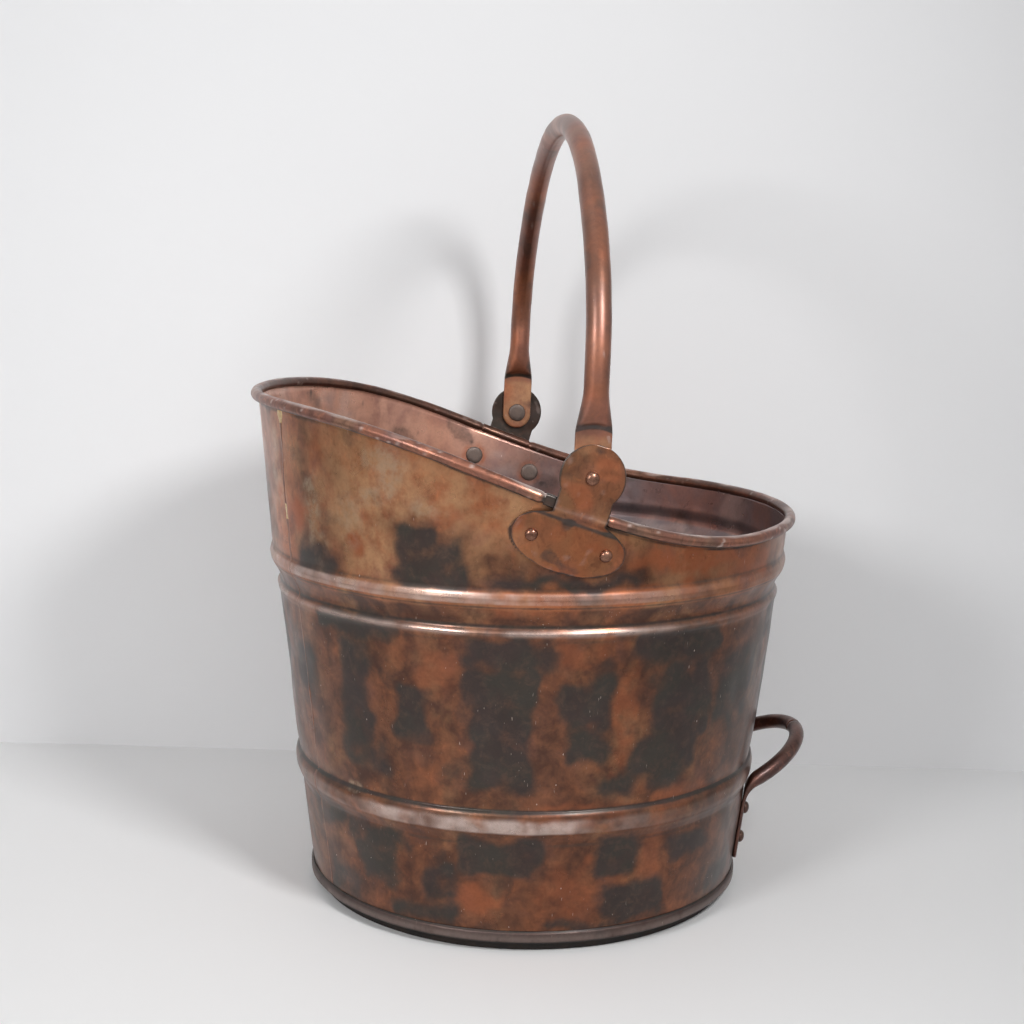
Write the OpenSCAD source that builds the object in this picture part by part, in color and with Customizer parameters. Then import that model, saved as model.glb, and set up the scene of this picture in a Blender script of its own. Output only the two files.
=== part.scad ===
// Tapered copper coal bucket with a high pouring lip, a swinging bail and a fixed handle low on the back.
// Millimetres. The origin is the middle of the underside, the lip points to -X and the back handle to +X.

/* [Bucket] */
// Outside diameter of the foot band
foot_d = 304; // [290:1:320]
// Height of the foot band's lower edge above the floor
foot_z = 7.5; // [6:0.5:10]
// Height of the foot band
foot_h = 7.5; // [6:0.5:10]
// Thickness of the copper sheet
sheet_t = 1.2; // [1:0.1:1.6]
// Outside diameter of the wall at the lower bead
bead_wall_d = 318.6; // [312:0.2:324]
// Outside diameter of the wall in the recess of the upper swage
swage_wall_d = 348.8; // [342:0.2:353]
// Outside diameter of the wall just above the upper swage
shoulder_wall_d = 357.2; // [354:0.2:362]
// Outside diameter of the wall at the height of the lip
mouth_d = 374; // [368:0.5:382]

/* [Rim] */
// Height of the rim at the pouring lip
lip_z = 345; // [325:1:360]
// Height of the rim at the back
back_z = 265; // [262:1:275]
// Share of the length over which the rim comes down
rim_slope_share = 0.87; // [0.8:0.01:0.95]
// Outside diameter of the rolled edge
roll_d = 7.4; // [6.6:0.1:8]
// Diameter of the wire inside the rolled edge
wire_d = 4; // [3:0.1:4.4]

/* [Swages] */
// Height of the lower bead's crest
low_bead_z = 87; // [84:0.5:92]
// Height that the lower bead stands out
low_bead_h = 2.8; // [1.5:0.1:3.5]
// Height of the upper swage's main ridge
ridge_z = 235; // [231:0.5:238]
// Height that the main ridge stands out
ridge_h = 2.8; // [1.5:0.1:3.5]
// Height of the small ridge under it
small_ridge_z = 214.5; // [210:0.5:216]

/* [Ears and bail] */
// Distance of the pivots behind the middle of the bucket
pivot_x = 13; // [5:0.5:15]
// Height of the pivots
pivot_z = 312.5; // [311:0.5:316]
// Turn of the ears, which stand square to the sloping rim
ear_turn = 17; // [12:1:20]
// Diameter of the ear's upper disc
ear_disc_d = 40; // [36:1:42]
// Thickness of the ear plate
ear_t = 2; // [1.5:0.1:2.4]
// Diameter of the ear rivets' domed heads
head_d = 8; // [7:0.1:9]
// Outside diameter of the bail tube
bail_d = 15.2; // [13:0.1:16]
// Wall of the bail tube
bail_wall = 1.5; // [1:0.1:2]
// Height of the bail's centre line over the pivots
bail_rise = 214.5; // [200:0.5:220]
// Length of the bail's straight arms
bail_arm = 65; // [55:1:75]
// Backward lean of the bail as it stands
bail_lean = 1.7; // [0:0.1:3]
// Width of the bail's flattened ends
bail_tab_w = 22; // [18:0.5:24]
// Thickness of the bail's flattened ends
bail_tab_t = 3.6; // [3:0.1:4.5]
// Diameter of the pivot rivet's shank
pivot_d = 6; // [5:0.1:7]

/* [Back handle] */
// Diameter of the back handle's rod
grip_d = 10.5; // [9:0.1:11]
// Radius of the loop's centre line
grip_r = 50; // [45:1:52]
// Upward tilt of the loop, in degrees
grip_tilt = 29; // [25:1:32]
// Height of the loop's roots
grip_z = 77.5; // [74:0.5:78]

/* [Hidden] */
$fn = 96;

copper = "#8a4b2c";
dark_copper = "#6e3c28";
brass_colour = "#b58a45";
iron = "#2b2826";

// The bucket's wall: radius of the outer face by height, with its swages
foot_t = 1.6;                       // the foot band's thickness
foot_wall_r = foot_d / 2 - foot_t;  // wall behind the foot band's top edge
foot_top = foot_z + foot_h;
recess_z = 221;                     // middle of the recess under the main ridge
shoulder_z = 248;
top_z = 365;                        // top of the wall before the rim is cut
low_slope = (bead_wall_d / 2 - foot_wall_r) / (low_bead_z - foot_top);
high_slope = (mouth_d - shoulder_wall_d) / 2 / (lip_z - shoulder_z);
wall_table = [
    [0, foot_wall_r - foot_top * low_slope],
    [low_bead_z, bead_wall_d / 2],
    [recess_z, swage_wall_d / 2],
    [shoulder_z, shoulder_wall_d / 2],
    [top_z, shoulder_wall_d / 2 + (top_z - shoulder_z) * high_slope]];
bead_half = 11;                     // half heights of the raised bands
ridge_half = 8;
small_ridge_half = 4.5;
recess_half = 6;
recess_depth = 1.5;
small_ridge_h = 0.8;
bump_steps = 10;                    // facets of each band's profile

function plain_r(z) = lookup(z, wall_table);
function wall_lean(z) = atan((plain_r(z + 1) - plain_r(z - 1)) / 2);
function bump(z, middle, half, h) = abs(z - middle) >= half ? 0 : h * pow(cos(90 * (z - middle) / half), 2);
function wall_r(z) = plain_r(z)
    + bump(z, low_bead_z, bead_half, low_bead_h)
    + bump(z, ridge_z, ridge_half, ridge_h)
    + bump(z, small_ridge_z, small_ridge_half, small_ridge_h)
    - bump(z, recess_z, recess_half, recess_depth);
band_low = small_ridge_z - small_ridge_half;
band_high = ridge_z + ridge_half;
wall_heights = concat(
    [foot_z],
    [for (i = [0:bump_steps]) low_bead_z + bead_half * (2 * i / bump_steps - 1)],
    [for (i = [0:2 * bump_steps]) band_low + (band_high - band_low) * i / (2 * bump_steps)],
    [shoulder_z, top_z]);

// The rim: its height falls from the lip to the back as half a cosine wave
lip_r = plain_r(lip_z);
back_r = plain_r(back_z);
function rim_share(x) = min(1, max(0, (x + lip_r) / (back_r + lip_r)) / rim_slope_share);
function rim_z(x) = back_z + (lip_z - back_z) * (1 + cos(180 * rim_share(x))) / 2;
function settle(angle, z, times) = times == 0 ? z : settle(angle, rim_z(plain_r(z) * cos(angle)), times - 1);
roll_off = 1.2;                     // the roll's centre line stands this far outside the wall
function rim_point(angle) =
    let (z = settle(angle, (lip_z + back_z) / 2, 8))
    [(plain_r(z) + roll_off) * cos(angle), (plain_r(z) + roll_off) * sin(angle), z];
function rim_dir(angle) = unit(rim_point(angle + 0.5) - rim_point(angle - 0.5));
function unit(v) = v / norm(v);
sheet_below_rim = 2.4;              // the sheet's edge under the roll's centre line
wire_clear = 0.02;

// Ears: a riveted tab on the wall, a neck that steps out past the rim, and the pivot disc
tab_x = 0.8;
tab_z = 271.5;
tab_half = 36;
tab_half_h = 18;
ear_rivet_half = 23.5;
neck_half = 16.8;
step_low = 12.5;                    // where the step begins and ends, up the ear from the tab's middle
step_high = 20;
tab_reach = 12;                     // depth in which the wall curves away behind a tab
ear_seat = wire_d / 2 + 0.3;        // the roll is cut back to this behind an ear
seat_front_x = -14.5;               // and between these
seat_rear_x = 22.5;
plate_y = plain_r(rim_z(-neck_half)) + roll_off + ear_seat; // inner face of the pivot disc
pivot_up = (pivot_z - tab_z) / cos(ear_turn);
ear_rivet_d = 4.5;
head_h = 3;
inner_head_d = 13.5;
inner_head_t = 1.4;

// Bail
bail_y = 184.5;
tab_gap = 0.4;                      // running gap on each face of the flattened end
tab_y = plate_y - tab_gap - bail_tab_t / 2;
bail_tab_drop = 1.4;                // the end's rounding is centred this far under the pivot
pivot_clear = 0.05;
bail_rise_arch = bail_rise - bail_arm; // height of the arch over its arms
shoulder_r = 110;
crown_r = (pow(bail_y - shoulder_r, 2) + pow(bail_rise_arch, 2) - pow(shoulder_r, 2))
    / (2 * (bail_rise_arch - shoulder_r));
crown_half = atan2(bail_y - shoulder_r, crown_r - bail_rise_arch);
flare_from = 22;                    // the flattened end opens out to the round tube between these
flare_to = 42;

// Bottom
pan_step = 3.6;                     // the tray's side stands this far inside the wall

// Back handle
grip_sink = 4.8;                    // the loop is centred this far inside the wall at the bead
grip_x = bead_wall_d / 2 - grip_sink;
strip_y = 49;
strip_half = 7;
strip_t = 2.6;
strip_low = 22;
strip_high = 68;
grip_rivet_z = [59, 38];
grip_rivet_d = 4.5;
grip_head_d = 8.5;
grip_head_h = 3;
grip_inner_d = 10;

// Seam
seam_angle = 203;
seam_w = 1.8;
seam_t = 0.5;

// ---- shapes used by more than one piece ----

module wall_solid(grow) {
    rotate_extrude($fn = 180)
        polygon(concat([[0, foot_z]], [for (z = wall_heights) [wall_r(z) + grow, z]], [[0, top_z]]));
}

module wall_sheet(from_out, to_out) {
    rotate_extrude($fn = 180)
        polygon(concat(
            [for (z = wall_heights) [wall_r(z) + from_out, z]],
            [for (i = [len(wall_heights) - 1:-1:0]) [wall_r(wall_heights[i]) + to_out, wall_heights[i]]]));
}

module plain_sheet(low, high, from_out, to_out) {
    rotate_extrude($fn = 180)
        polygon([
            [plain_r(low) + from_out, low], [plain_r(low) + to_out, low],
            [plain_r(high) + to_out, high], [plain_r(high) + from_out, high]]);
}

// Everything under the sloping rim, seen from the side
module under_rim(drop) {
    steps = 48;
    reach = 230;
    rotate([90, 0, 0])
        linear_extrude(height = 2 * reach, center = true)
            polygon(concat(
                [[-reach, -1], [-reach, rim_z(-lip_r) - drop]],
                [for (i = [0:steps]) let (x = -lip_r + (back_r + lip_r) * i / steps) [x, rim_z(x) - drop]],
                [[reach, rim_z(back_r) - drop], [reach, -1]]));
}

// Puts its child on the wall's outer face at an angle and a height, with the child's +X pointing outward
module on_wall(angle, z) {
    rotate([0, 0, angle])
        translate([plain_r(z), 0, z])
            rotate([0, wall_lean(z), 0])
                children();
}

// A rivet along +X, with its zero at the sheet's outer face: dome outside, shank, flat head inside
module rivet(shank_d, dome_d, dome_h, under_dome, grip_in, flat_d, flat_t) {
    dome_steps = 6;
    rotate([0, 90, 0])
        rotate_extrude($fn = 48)
            polygon(concat(
                [[0, -grip_in - flat_t], [flat_d / 2, -grip_in - flat_t], [flat_d / 2, -grip_in],
                    [shank_d / 2, -grip_in], [shank_d / 2, under_dome]],
                [for (i = [0:dome_steps])
                    let (a = 90 * i / dome_steps) [dome_d / 2 * cos(a), under_dome + dome_h * sin(a)]]));
}

module rivet_hole(d) {
    translate([-8, 0, 0]) rotate([0, 90, 0]) cylinder(h = 16, d = d);
}

// A section of the rim at one angle: each point of the profile is [outward, upward] from the centre line
function rim_section(angle, profile) =
    let (
        dir = rim_dir(angle),
        radial = [cos(angle), sin(angle), 0],
        out = unit(radial - dir * (radial * dir)),
        up = cross(out, dir))
    [for (p = profile) rim_point(angle) + p[0] * out + p[1] * up];

// A closed loop through sections that all have the same number of points
module rim_loop(sections) {
    n = len(sections);
    m = len(sections[0]);
    polyhedron(
        points = [for (section = sections) each section],
        faces = [for (i = [0:n - 1], k = [0:m - 1])
            let (next = (i + 1) % n, side = (k + 1) % m)
            [i * m + k, i * m + side, next * m + side, next * m + k]],
        convexity = 6);
}

// The stations around the rim as [angle, outward limit]: behind an ear the roll is cut back to the ear's seat
function span(from, to, steps, limit) = [for (i = [0:steps]) [from + (to - from) * i / steps, limit]];
seat_r = plain_r(rim_z(0)) + roll_off;
seat_front = 270 + asin(seat_front_x / seat_r);
seat_rear = 270 + asin(seat_rear_x / seat_r);
cut_angle = 0.12;
rim_stations = concat(
    span(seat_rear - 360, 360 - seat_rear, 40, roll_d),
    span(360 - seat_rear + cut_angle, 360 - seat_front - cut_angle, 3, ear_seat),
    span(360 - seat_front, seat_front, 42, roll_d),
    span(seat_front + cut_angle, seat_rear - cut_angle, 3, ear_seat));

// The sheet curls outward over the wire; its slit faces down and in, where the wall comes up
curl_from = -100;
curl_to = 245;
curl_steps = 10;
curl_in_r = (wire_d / 2 + wire_clear) / cos((curl_to - curl_from) / curl_steps / 2); // its flats clear the wire
function curl_arc(r, from, to) = [for (i = [0:curl_steps])
    let (a = from + (to - from) * i / curl_steps) [r * cos(a), r * sin(a)]];
function curl_profile(limit) = concat(
    [for (p = curl_arc(roll_d / 2, curl_from, curl_to)) [min(p[0], limit), p[1]]],
    curl_arc(curl_in_r, curl_to, curl_from));
wire_sides = 8;
wire_profile = [for (i = [0:wire_sides - 1])
    [wire_d / 2 * cos(360 * i / wire_sides), wire_d / 2 * sin(360 * i / wire_sides)]];

// ---- the pieces ----

module body_shell() {
    color(copper)
        difference() {
            intersection() {
                wall_sheet(-sheet_t, 0);
                under_rim(sheet_below_rim);
            }
            ear_rivet_places() rivet_hole(ear_rivet_d);
            grip_rivet_places() rivet_hole(grip_rivet_d);
        }
}

module seam_braze() {
    color(brass_colour)
        intersection() {
            wall_sheet(0, seam_t);
            under_rim(sheet_below_rim + roll_d / 2);
            rotate([0, 0, seam_angle])
                translate([0, -seam_w / 2, foot_top])
                    cube([lip_r + 20, seam_w, lip_z]);
        }
}

// A tray of black sheet iron let into the bottom; its flange stands between wall and floor
module base_pan() {
    tray_t = 1.5;
    step_z = foot_z - 0.5;
    flange_top = foot_top + 3;
    in_low = plain_r(foot_z) - sheet_t;
    in_high = plain_r(flange_top) - sheet_t;
    tray_r = in_low - pan_step;
    color(iron)
        rotate_extrude($fn = 180)
            polygon([
                [0, 0], [tray_r, 0], [tray_r, step_z - tray_t], [in_low, step_z - tray_t], [in_low, foot_z],
                [in_high, flange_top], [in_high - tray_t, flange_top], [in_low - tray_t, step_z],
                [tray_r - tray_t, step_z], [tray_r - tray_t, tray_t], [0, tray_t]]);
}

module foot_band() {
    color(dark_copper)
        rotate_extrude($fn = 180)
            polygon([
                [plain_r(foot_z), foot_z], [foot_d / 2 - 0.5, foot_z], [foot_d / 2, foot_z + 1],
                [foot_d / 2, foot_top - 1.2], [plain_r(foot_top) + 0.6, foot_top], [plain_r(foot_top), foot_top]]);
}

module rim_roll() {
    color(copper) rim_loop([for (s = rim_stations) rim_section(s[0], curl_profile(s[1]))]);
}

module rim_wire() {
    color(iron) rim_loop([for (s = rim_stations) rim_section(s[0], wire_profile)]);
}

// The ear's outline seen from its side, drawn about the tab's middle with the ear upright
module ear_outline(low, high) {
    sides = 64;
    intersection() {
        union() {
            polygon([for (i = [0:sides - 1])
                [tab_half * cos(360 * i / sides), tab_half_h * sin(360 * i / sides)]]);
            translate([-neck_half, 0]) square([2 * neck_half, pivot_up]);
            translate([0, pivot_up]) circle(d = ear_disc_d);
        }
        translate([-60, low]) square([120, high - low]);
    }
}

// Stands a drawing of the left ear up in its place, as a slab from one distance to another
module ear_slab(from_y, to_y) {
    translate([tab_x, 0, tab_z])
        rotate([0, ear_turn, 0])
            translate([0, -from_y, 0])
                rotate([90, 0, 0])
                    linear_extrude(height = to_y - from_y)
                        children();
}

module ear_left_shape() {
    tab_y_near = plain_r(tab_z) - tab_reach;
    low_in = plain_r(tab_z + step_low) + 0.1;
    difference() {
        union() {
            intersection() {
                plain_sheet(shoulder_z, lip_z, 0, ear_t);
                ear_slab(tab_y_near, plate_y + 4) ear_outline(-tab_half_h, step_low + 1);
            }
            intersection() {
                ear_slab(tab_y_near, plate_y + 4) ear_outline(step_low - 1, step_high + 1);
                translate([tab_x, 0, tab_z])
                    rotate([0, ear_turn, 0])
                        rotate([90, 0, 90])
                            linear_extrude(height = 2 * tab_half, center = true)
                                polygon([
                                    [-low_in, step_low - 1], [-low_in - ear_t, step_low - 1],
                                    [-low_in - ear_t, step_low + 0.5],
                                    [-plate_y - ear_t, step_high], [-plate_y - ear_t, step_high + 1],
                                    [-plate_y, step_high + 1], [-plate_y, step_high - 0.5],
                                    [-low_in, step_low]]);
            }
            ear_slab(plate_y, plate_y + ear_t) ear_outline(step_high, pivot_up + ear_disc_d);
        }
        translate([pivot_x, 0, pivot_z]) rotate([90, 0, 0]) cylinder(h = mouth_d, d = pivot_d);
        left_ear_rivet_places() rivet_hole(ear_rivet_d);
    }
}

module ear_left() {
    color(copper) ear_left_shape();
}

module ear_right() {
    color(copper) mirror([0, 1, 0]) ear_left_shape();
}

// Where each ear rivet goes: side -1 is the left ear; along -1 is the front one
module ear_rivet_at(side, along) {
    x = tab_x + along * ear_rivet_half * cos(ear_turn);
    z = tab_z - along * ear_rivet_half * sin(ear_turn);
    angle = acos(x / plain_r(z));
    on_wall(side * angle, z) children();
}

module left_ear_rivet_places() {
    for (along = [-1, 1]) ear_rivet_at(-1, along) children();
}

module ear_rivet_places() {
    for (side = [-1, 1], along = [-1, 1]) ear_rivet_at(side, along) children();
}

module ear_rivet(side, along) {
    color(copper)
        ear_rivet_at(side, along)
            rivet(ear_rivet_d, head_d, head_h, ear_t, sheet_t, inner_head_d, inner_head_t);
}

module ear_rivet_left_front() { ear_rivet(-1, -1); }
module ear_rivet_left_rear() { ear_rivet(-1, 1); }
module ear_rivet_right_front() { ear_rivet(1, -1); }
module ear_rivet_right_rear() { ear_rivet(1, 1); }

// The pivot rivet clamps the ear and leaves the bail's flat end free to turn on its shank
module pivot_rivet(side) {
    color(copper)
        translate([pivot_x, side * plate_y, pivot_z])
            rotate([0, 0, side * 90])
                rivet(pivot_d, head_d + 0.5, head_h, ear_t, bail_tab_t + 2 * tab_gap, inner_head_d, inner_head_t);
}

module pivot_rivet_left() { pivot_rivet(-1); }
module pivot_rivet_right() { pivot_rivet(1); }

// The bail, drawn with the pivots on the Y axis. Its tube is rolled from sheet, with the open seam on the arch's
// inner side, and bent to a basket arch of three arcs on two straight arms. Each station is [y, z, angle], where the
// angle is that of the arch's outer side.
bail_sides = 20;
shoulder_y = bail_y - shoulder_r;
crown_z = bail_rise - crown_r;
bail_stations = concat(
    [[-bail_y, flare_to, 180]],
    [for (i = [0:5])
        let (a = 180 - (90 - crown_half) * i / 5) [shoulder_r * cos(a) - shoulder_y, bail_arm + shoulder_r * sin(a), a]],
    [for (i = [1:15])
        let (a = 90 + crown_half * (1 - i / 8)) [crown_r * cos(a), crown_z + crown_r * sin(a), a]],
    [for (i = [0:5])
        let (a = (90 - crown_half) * (1 - i / 5)) [shoulder_r * cos(a) + shoulder_y, bail_arm + shoulder_r * sin(a), a]],
    [[bail_y, flare_to, 0]]);

bail_seam = 4;                      // half the seam's opening, in degrees
function bail_arc(r, from, to) = [for (k = [0:bail_sides])
    let (t = from + (to - from) * k / bail_sides) [r * cos(t), r * sin(t)]];
bail_profile = concat(
    bail_arc(bail_d / 2, 180 + bail_seam, 540 - bail_seam),
    bail_arc(bail_d / 2 - bail_wall, 540 - bail_seam, 180 + bail_seam));
function bail_section(station) = [for (p = bail_profile)
    [p[1], station[0] + p[0] * cos(station[2]), station[1] + p[0] * sin(station[2])]];

module bail_sweep() {
    n = len(bail_stations);
    m = len(bail_profile);
    polyhedron(
        points = [for (s = bail_stations) each bail_section(s)],
        faces = concat(
            [for (i = [0:n - 2], k = [0:m - 1])
                let (a = i * m + k, b = i * m + (k + 1) % m) [a, a + m, b + m, b]],
            [[for (k = [0:m - 1]) k]],
            [[for (k = [m - 1:-1:0]) (n - 1) * m + k]]),
        convexity = 6);
}

// One flattened end: a flat tab with the pivot's bore, and above it the tube opening out to its round section
module bail_end_shape(side) {
    translate([0, side * tab_y, 0])
        rotate([90, 0, 0])
            difference() {
                linear_extrude(height = bail_tab_t, center = true) {
                    translate([0, -bail_tab_drop]) circle(d = bail_tab_w);
                    translate([-bail_tab_w / 2, -bail_tab_drop])
                        square([bail_tab_w, flare_from + bail_tab_drop]);
                }
                cylinder(h = 2 * bail_tab_t, d = pivot_d + 2 * pivot_clear, center = true);
            }
    hull() {
        translate([-bail_tab_w / 2, side * tab_y - bail_tab_t / 2, flare_from])
            cube([bail_tab_w, bail_tab_t, 0.2]);
        translate([0, side * bail_y, flare_to - 0.2])
            cylinder(h = 0.2, d = bail_d, $fn = 24);
    }
}

module in_bail_place() {
    translate([pivot_x, 0, pivot_z])
        rotate([0, bail_lean, 0])
            children();
}

module bail_arch() {
    color(dark_copper) in_bail_place() bail_sweep();
}

module bail_end_left() {
    color(dark_copper) in_bail_place() bail_end_shape(-1);
}

module bail_end_right() {
    color(dark_copper) in_bail_place() bail_end_shape(1);
}

// Back handle: a half-round loop whose flattened ends lie on the wall
module grip_strip(side) {
    intersection() {
        plain_sheet(strip_low - 2, strip_high + 2, 0, strip_t);
        translate([0, side * strip_y, 0])
            rotate([90, 0, 90])
                linear_extrude(height = mouth_d / 2) {
                    translate([-strip_half, strip_low + strip_half])
                        square([2 * strip_half, strip_high - strip_low - strip_half]);
                    translate([0, strip_low + strip_half]) circle(r = strip_half);
                }
    }
}

module back_handle() {
    strip_angle = asin(strip_y / plain_r(strip_high));
    color(dark_copper)
        difference() {
            union() {
                translate([grip_x, 0, grip_z])
                    rotate([0, -grip_tilt, 0])
                        rotate([0, 0, -90])
                            rotate_extrude(angle = 180)
                                translate([grip_r, 0]) circle(d = grip_d);
                for (side = [-1, 1]) {
                    grip_strip(side);
                    hull() {
                        translate([grip_x, side * grip_r, grip_z])
                            rotate([0, 90 - grip_tilt, 0])
                                cylinder(h = 0.3, d = grip_d + 0.5, $fn = 24);
                        on_wall(side * strip_angle, strip_high - 2)
                            translate([0.3, -strip_half, -2]) cube([strip_t - 0.3, 2 * strip_half, 4]);
                    }
                }
            }
            grip_rivet_places() rivet_hole(grip_rivet_d);
        }
}

module grip_rivet_at(side, z) {
    on_wall(side * asin(strip_y / plain_r(z)), z) children();
}

module grip_rivet_places() {
    for (side = [-1, 1], z = grip_rivet_z) grip_rivet_at(side, z) children();
}

module grip_rivet(side, z) {
    color(copper)
        grip_rivet_at(side, z)
            rivet(grip_rivet_d, grip_head_d, grip_head_h, strip_t, sheet_t, grip_inner_d, inner_head_t);
}

module grip_rivet_left_upper() { grip_rivet(-1, grip_rivet_z[0]); }
module grip_rivet_left_lower() { grip_rivet(-1, grip_rivet_z[1]); }
module grip_rivet_right_upper() { grip_rivet(1, grip_rivet_z[0]); }
module grip_rivet_right_lower() { grip_rivet(1, grip_rivet_z[1]); }

body_shell();
seam_braze();
base_pan();
foot_band();
rim_roll();
rim_wire();
ear_left();
ear_right();
ear_rivet_left_front();
ear_rivet_left_rear();
ear_rivet_right_front();
ear_rivet_right_rear();
pivot_rivet_left();
pivot_rivet_right();
bail_arch();
bail_end_left();
bail_end_right();
back_handle();
grip_rivet_left_upper();
grip_rivet_left_lower();
grip_rivet_right_upper();
grip_rivet_right_lower();
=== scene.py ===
import bpy
import bmesh
import math
import numpy as np
from mathutils import Matrix, Vector


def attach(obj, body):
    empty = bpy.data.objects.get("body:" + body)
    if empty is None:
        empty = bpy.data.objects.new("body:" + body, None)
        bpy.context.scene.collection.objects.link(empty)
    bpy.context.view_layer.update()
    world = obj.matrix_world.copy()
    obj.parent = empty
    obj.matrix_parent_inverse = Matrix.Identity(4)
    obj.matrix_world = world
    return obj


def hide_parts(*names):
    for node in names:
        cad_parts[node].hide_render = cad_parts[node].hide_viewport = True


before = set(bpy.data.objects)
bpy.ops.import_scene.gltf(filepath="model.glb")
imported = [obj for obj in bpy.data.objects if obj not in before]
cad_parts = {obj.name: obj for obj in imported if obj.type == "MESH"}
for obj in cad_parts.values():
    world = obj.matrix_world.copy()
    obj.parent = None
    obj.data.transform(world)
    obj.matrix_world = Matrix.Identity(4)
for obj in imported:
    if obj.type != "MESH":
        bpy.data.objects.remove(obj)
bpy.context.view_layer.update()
MM = 0.001
DEG = math.pi / 180


def new_object(name, data):
    ob = bpy.data.objects.new(name, data)
    bpy.context.scene.collection.objects.link(ob)
    return ob


# ---- camera (mm, radians, pixels)
CAM_AZ, CAM_D, CAM_H = -0.130, 1160.849, 452.159
CAM_YAW, CAM_PITCH, CAM_ROLL = -0.010, 0.163, 0.016
FOCAL, PHOTO_SIDE, SENSOR_MM = 1674.487, 1024, 36
cam_at = Vector((math.sin(CAM_AZ) * CAM_D, -math.cos(CAM_AZ) * CAM_D, CAM_H))
to_axis = Vector((-math.sin(CAM_AZ), math.cos(CAM_AZ), 0))
beside = Vector((math.cos(CAM_AZ), math.sin(CAM_AZ), 0))
ahead = to_axis * math.cos(CAM_YAW) + beside * math.sin(CAM_YAW)
level_right = beside * math.cos(CAM_YAW) - to_axis * math.sin(CAM_YAW)
zed = Vector((0, 0, 1))
look = ahead * math.cos(CAM_PITCH) - zed * math.sin(CAM_PITCH)
level_up = zed * math.cos(CAM_PITCH) + ahead * math.sin(CAM_PITCH)
cam_right = level_right * math.cos(CAM_ROLL) + level_up * math.sin(CAM_ROLL)
cam_up = -level_right * math.sin(CAM_ROLL) + level_up * math.cos(CAM_ROLL)
cam_data = bpy.data.cameras.new("camera")
cam_data.sensor_width = SENSOR_MM
cam_data.lens = SENSOR_MM * FOCAL / PHOTO_SIDE
cam_data.clip_start, cam_data.clip_end = 0.05, 50
camera = new_object("camera", cam_data)
turn = Matrix((cam_right, cam_up, -look)).transposed()
camera.matrix_world = Matrix.Translation(cam_at * MM) @ turn.to_4x4()
bpy.context.scene.camera = camera


def on_floor(px, py):
    """The point of the floor, in mm, that the photograph shows at a pixel."""
    middle = PHOTO_SIDE / 2
    ray = look * FOCAL + cam_right * (px - middle) - cam_up * (py - middle)
    return cam_at - ray * (cam_at.z / ray.z)


# ---- the measures of part.scad
FOOT_D, FOOT_Z, FOOT_H, FOOT_T, SHEET = 304.0, 7.5, 7.5, 1.6, 1.2
FOOT_TOP = FOOT_Z + FOOT_H
FOOT_WALL_R = FOOT_D / 2 - FOOT_T
BEAD_Z, BEAD_R = 87, 159.3
LOW_SLOPE = (BEAD_R - FOOT_WALL_R) / (BEAD_Z - FOOT_TOP)
WALL_Z = [0, BEAD_Z, 221, 248, 365]
WALL_R = [FOOT_WALL_R - FOOT_TOP * LOW_SLOPE, BEAD_R, 174.4, 178.6, 178.6 + 117 * 8.4 / 97]
LIP_Z, BACK_Z, SHARE = 345.0, 265.0, 0.87
ROLL_R, ROLL_OFF, WIRE_D, BELOW_RIM = 3.7, 1.2, 4.0, 2.4
EAR_TURN, TAB_X, TAB_Z, EAR_T = 17 * DEG, 0.8, 271.5, 2.0
TAB_W, TAB_H, NECK_W, DISC_R, EAR_RIVET_AT = 36, 18, 16.8, 20, 23.5  # from the ear's middle
PIVOT = np.array([13.0, 0.0, 312.5])
SEAM_ANGLE, GRIP_Y, GRIP_T = 203.0, 49, 2.6
# rivets: shank, dome across and high, flat head across and thick
EAR_RIVET, PIVOT_RIVET, GRIP_RIVET = (4.5, 8, 3, 13.5, 1.4), (6, 8.5, 3, 13.5, 1.4), (4.5, 8.5, 3, 10, 1.4)


def plain_r(z):
    return np.interp(z, WALL_Z, WALL_R)


LIP_R, BACK_R = float(plain_r(LIP_Z)), float(plain_r(BACK_Z))


def rim_z(x):
    share = np.minimum(1, np.maximum(0, (x + LIP_R) / (BACK_R + LIP_R)) / SHARE)
    return BACK_Z + (LIP_Z - BACK_Z) * (1 + np.cos(np.pi * share)) / 2


def rim_height(a):
    z = np.full(np.shape(a), 300.0)
    for _ in range(12):
        z = rim_z(plain_r(z) * np.cos(a))
    return z


def ear_rivet_xz(along):
    u = along * EAR_RIVET_AT
    return TAB_X + u * math.cos(EAR_TURN), TAB_Z - u * math.sin(EAR_TURN)


CLEAR = 0.3
PLATE_Y = float(plain_r(rim_z(-NECK_W))) + ROLL_OFF + WIRE_D / 2 + CLEAR
BAIL_T, GAP = 3.6, 0.4
TAB_Y = PLATE_Y - GAP - BAIL_T / 2


# ---- helpers
def field(p, length, seed):
    """A smooth random field over points in mm, with unit spread and features of about that length."""
    waves, rng = 28, np.random.default_rng(seed)
    d = rng.normal(size=(waves, 3))
    d /= np.linalg.norm(d, axis=1)[:, None]
    k = d * (2 * np.pi / length) * rng.uniform(0.55, 1.25, size=(waves, 1))
    ph = rng.uniform(0, 2 * np.pi, size=waves)
    out = np.zeros(p.shape[:-1])
    for i in range(waves):
        out += np.cos(p @ k[i] + ph[i])
    return out * math.sqrt(2 / waves)


def smooth(x, a, b):
    t = np.clip((x - a) / (b - a), 0, 1)
    return t * t * (3 - 2 * t)


def blotch(p, length, seed, lo, hi):
    """Soft patches: where a random field passes from lo to hi."""
    return smooth(field(p, length, seed), lo, hi)


def peak(value, at, width):
    """1 where the value is there, and less on either side, over that width."""
    return np.exp(-((value - at) / width) ** 2)


def rounded(gap, r):
    """How full a plate is at that gap from its end, when the end's edge is rounded over r."""
    return math.sqrt(max(0.0, 1 - max(0, 1 - gap / r) ** 2))


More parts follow.
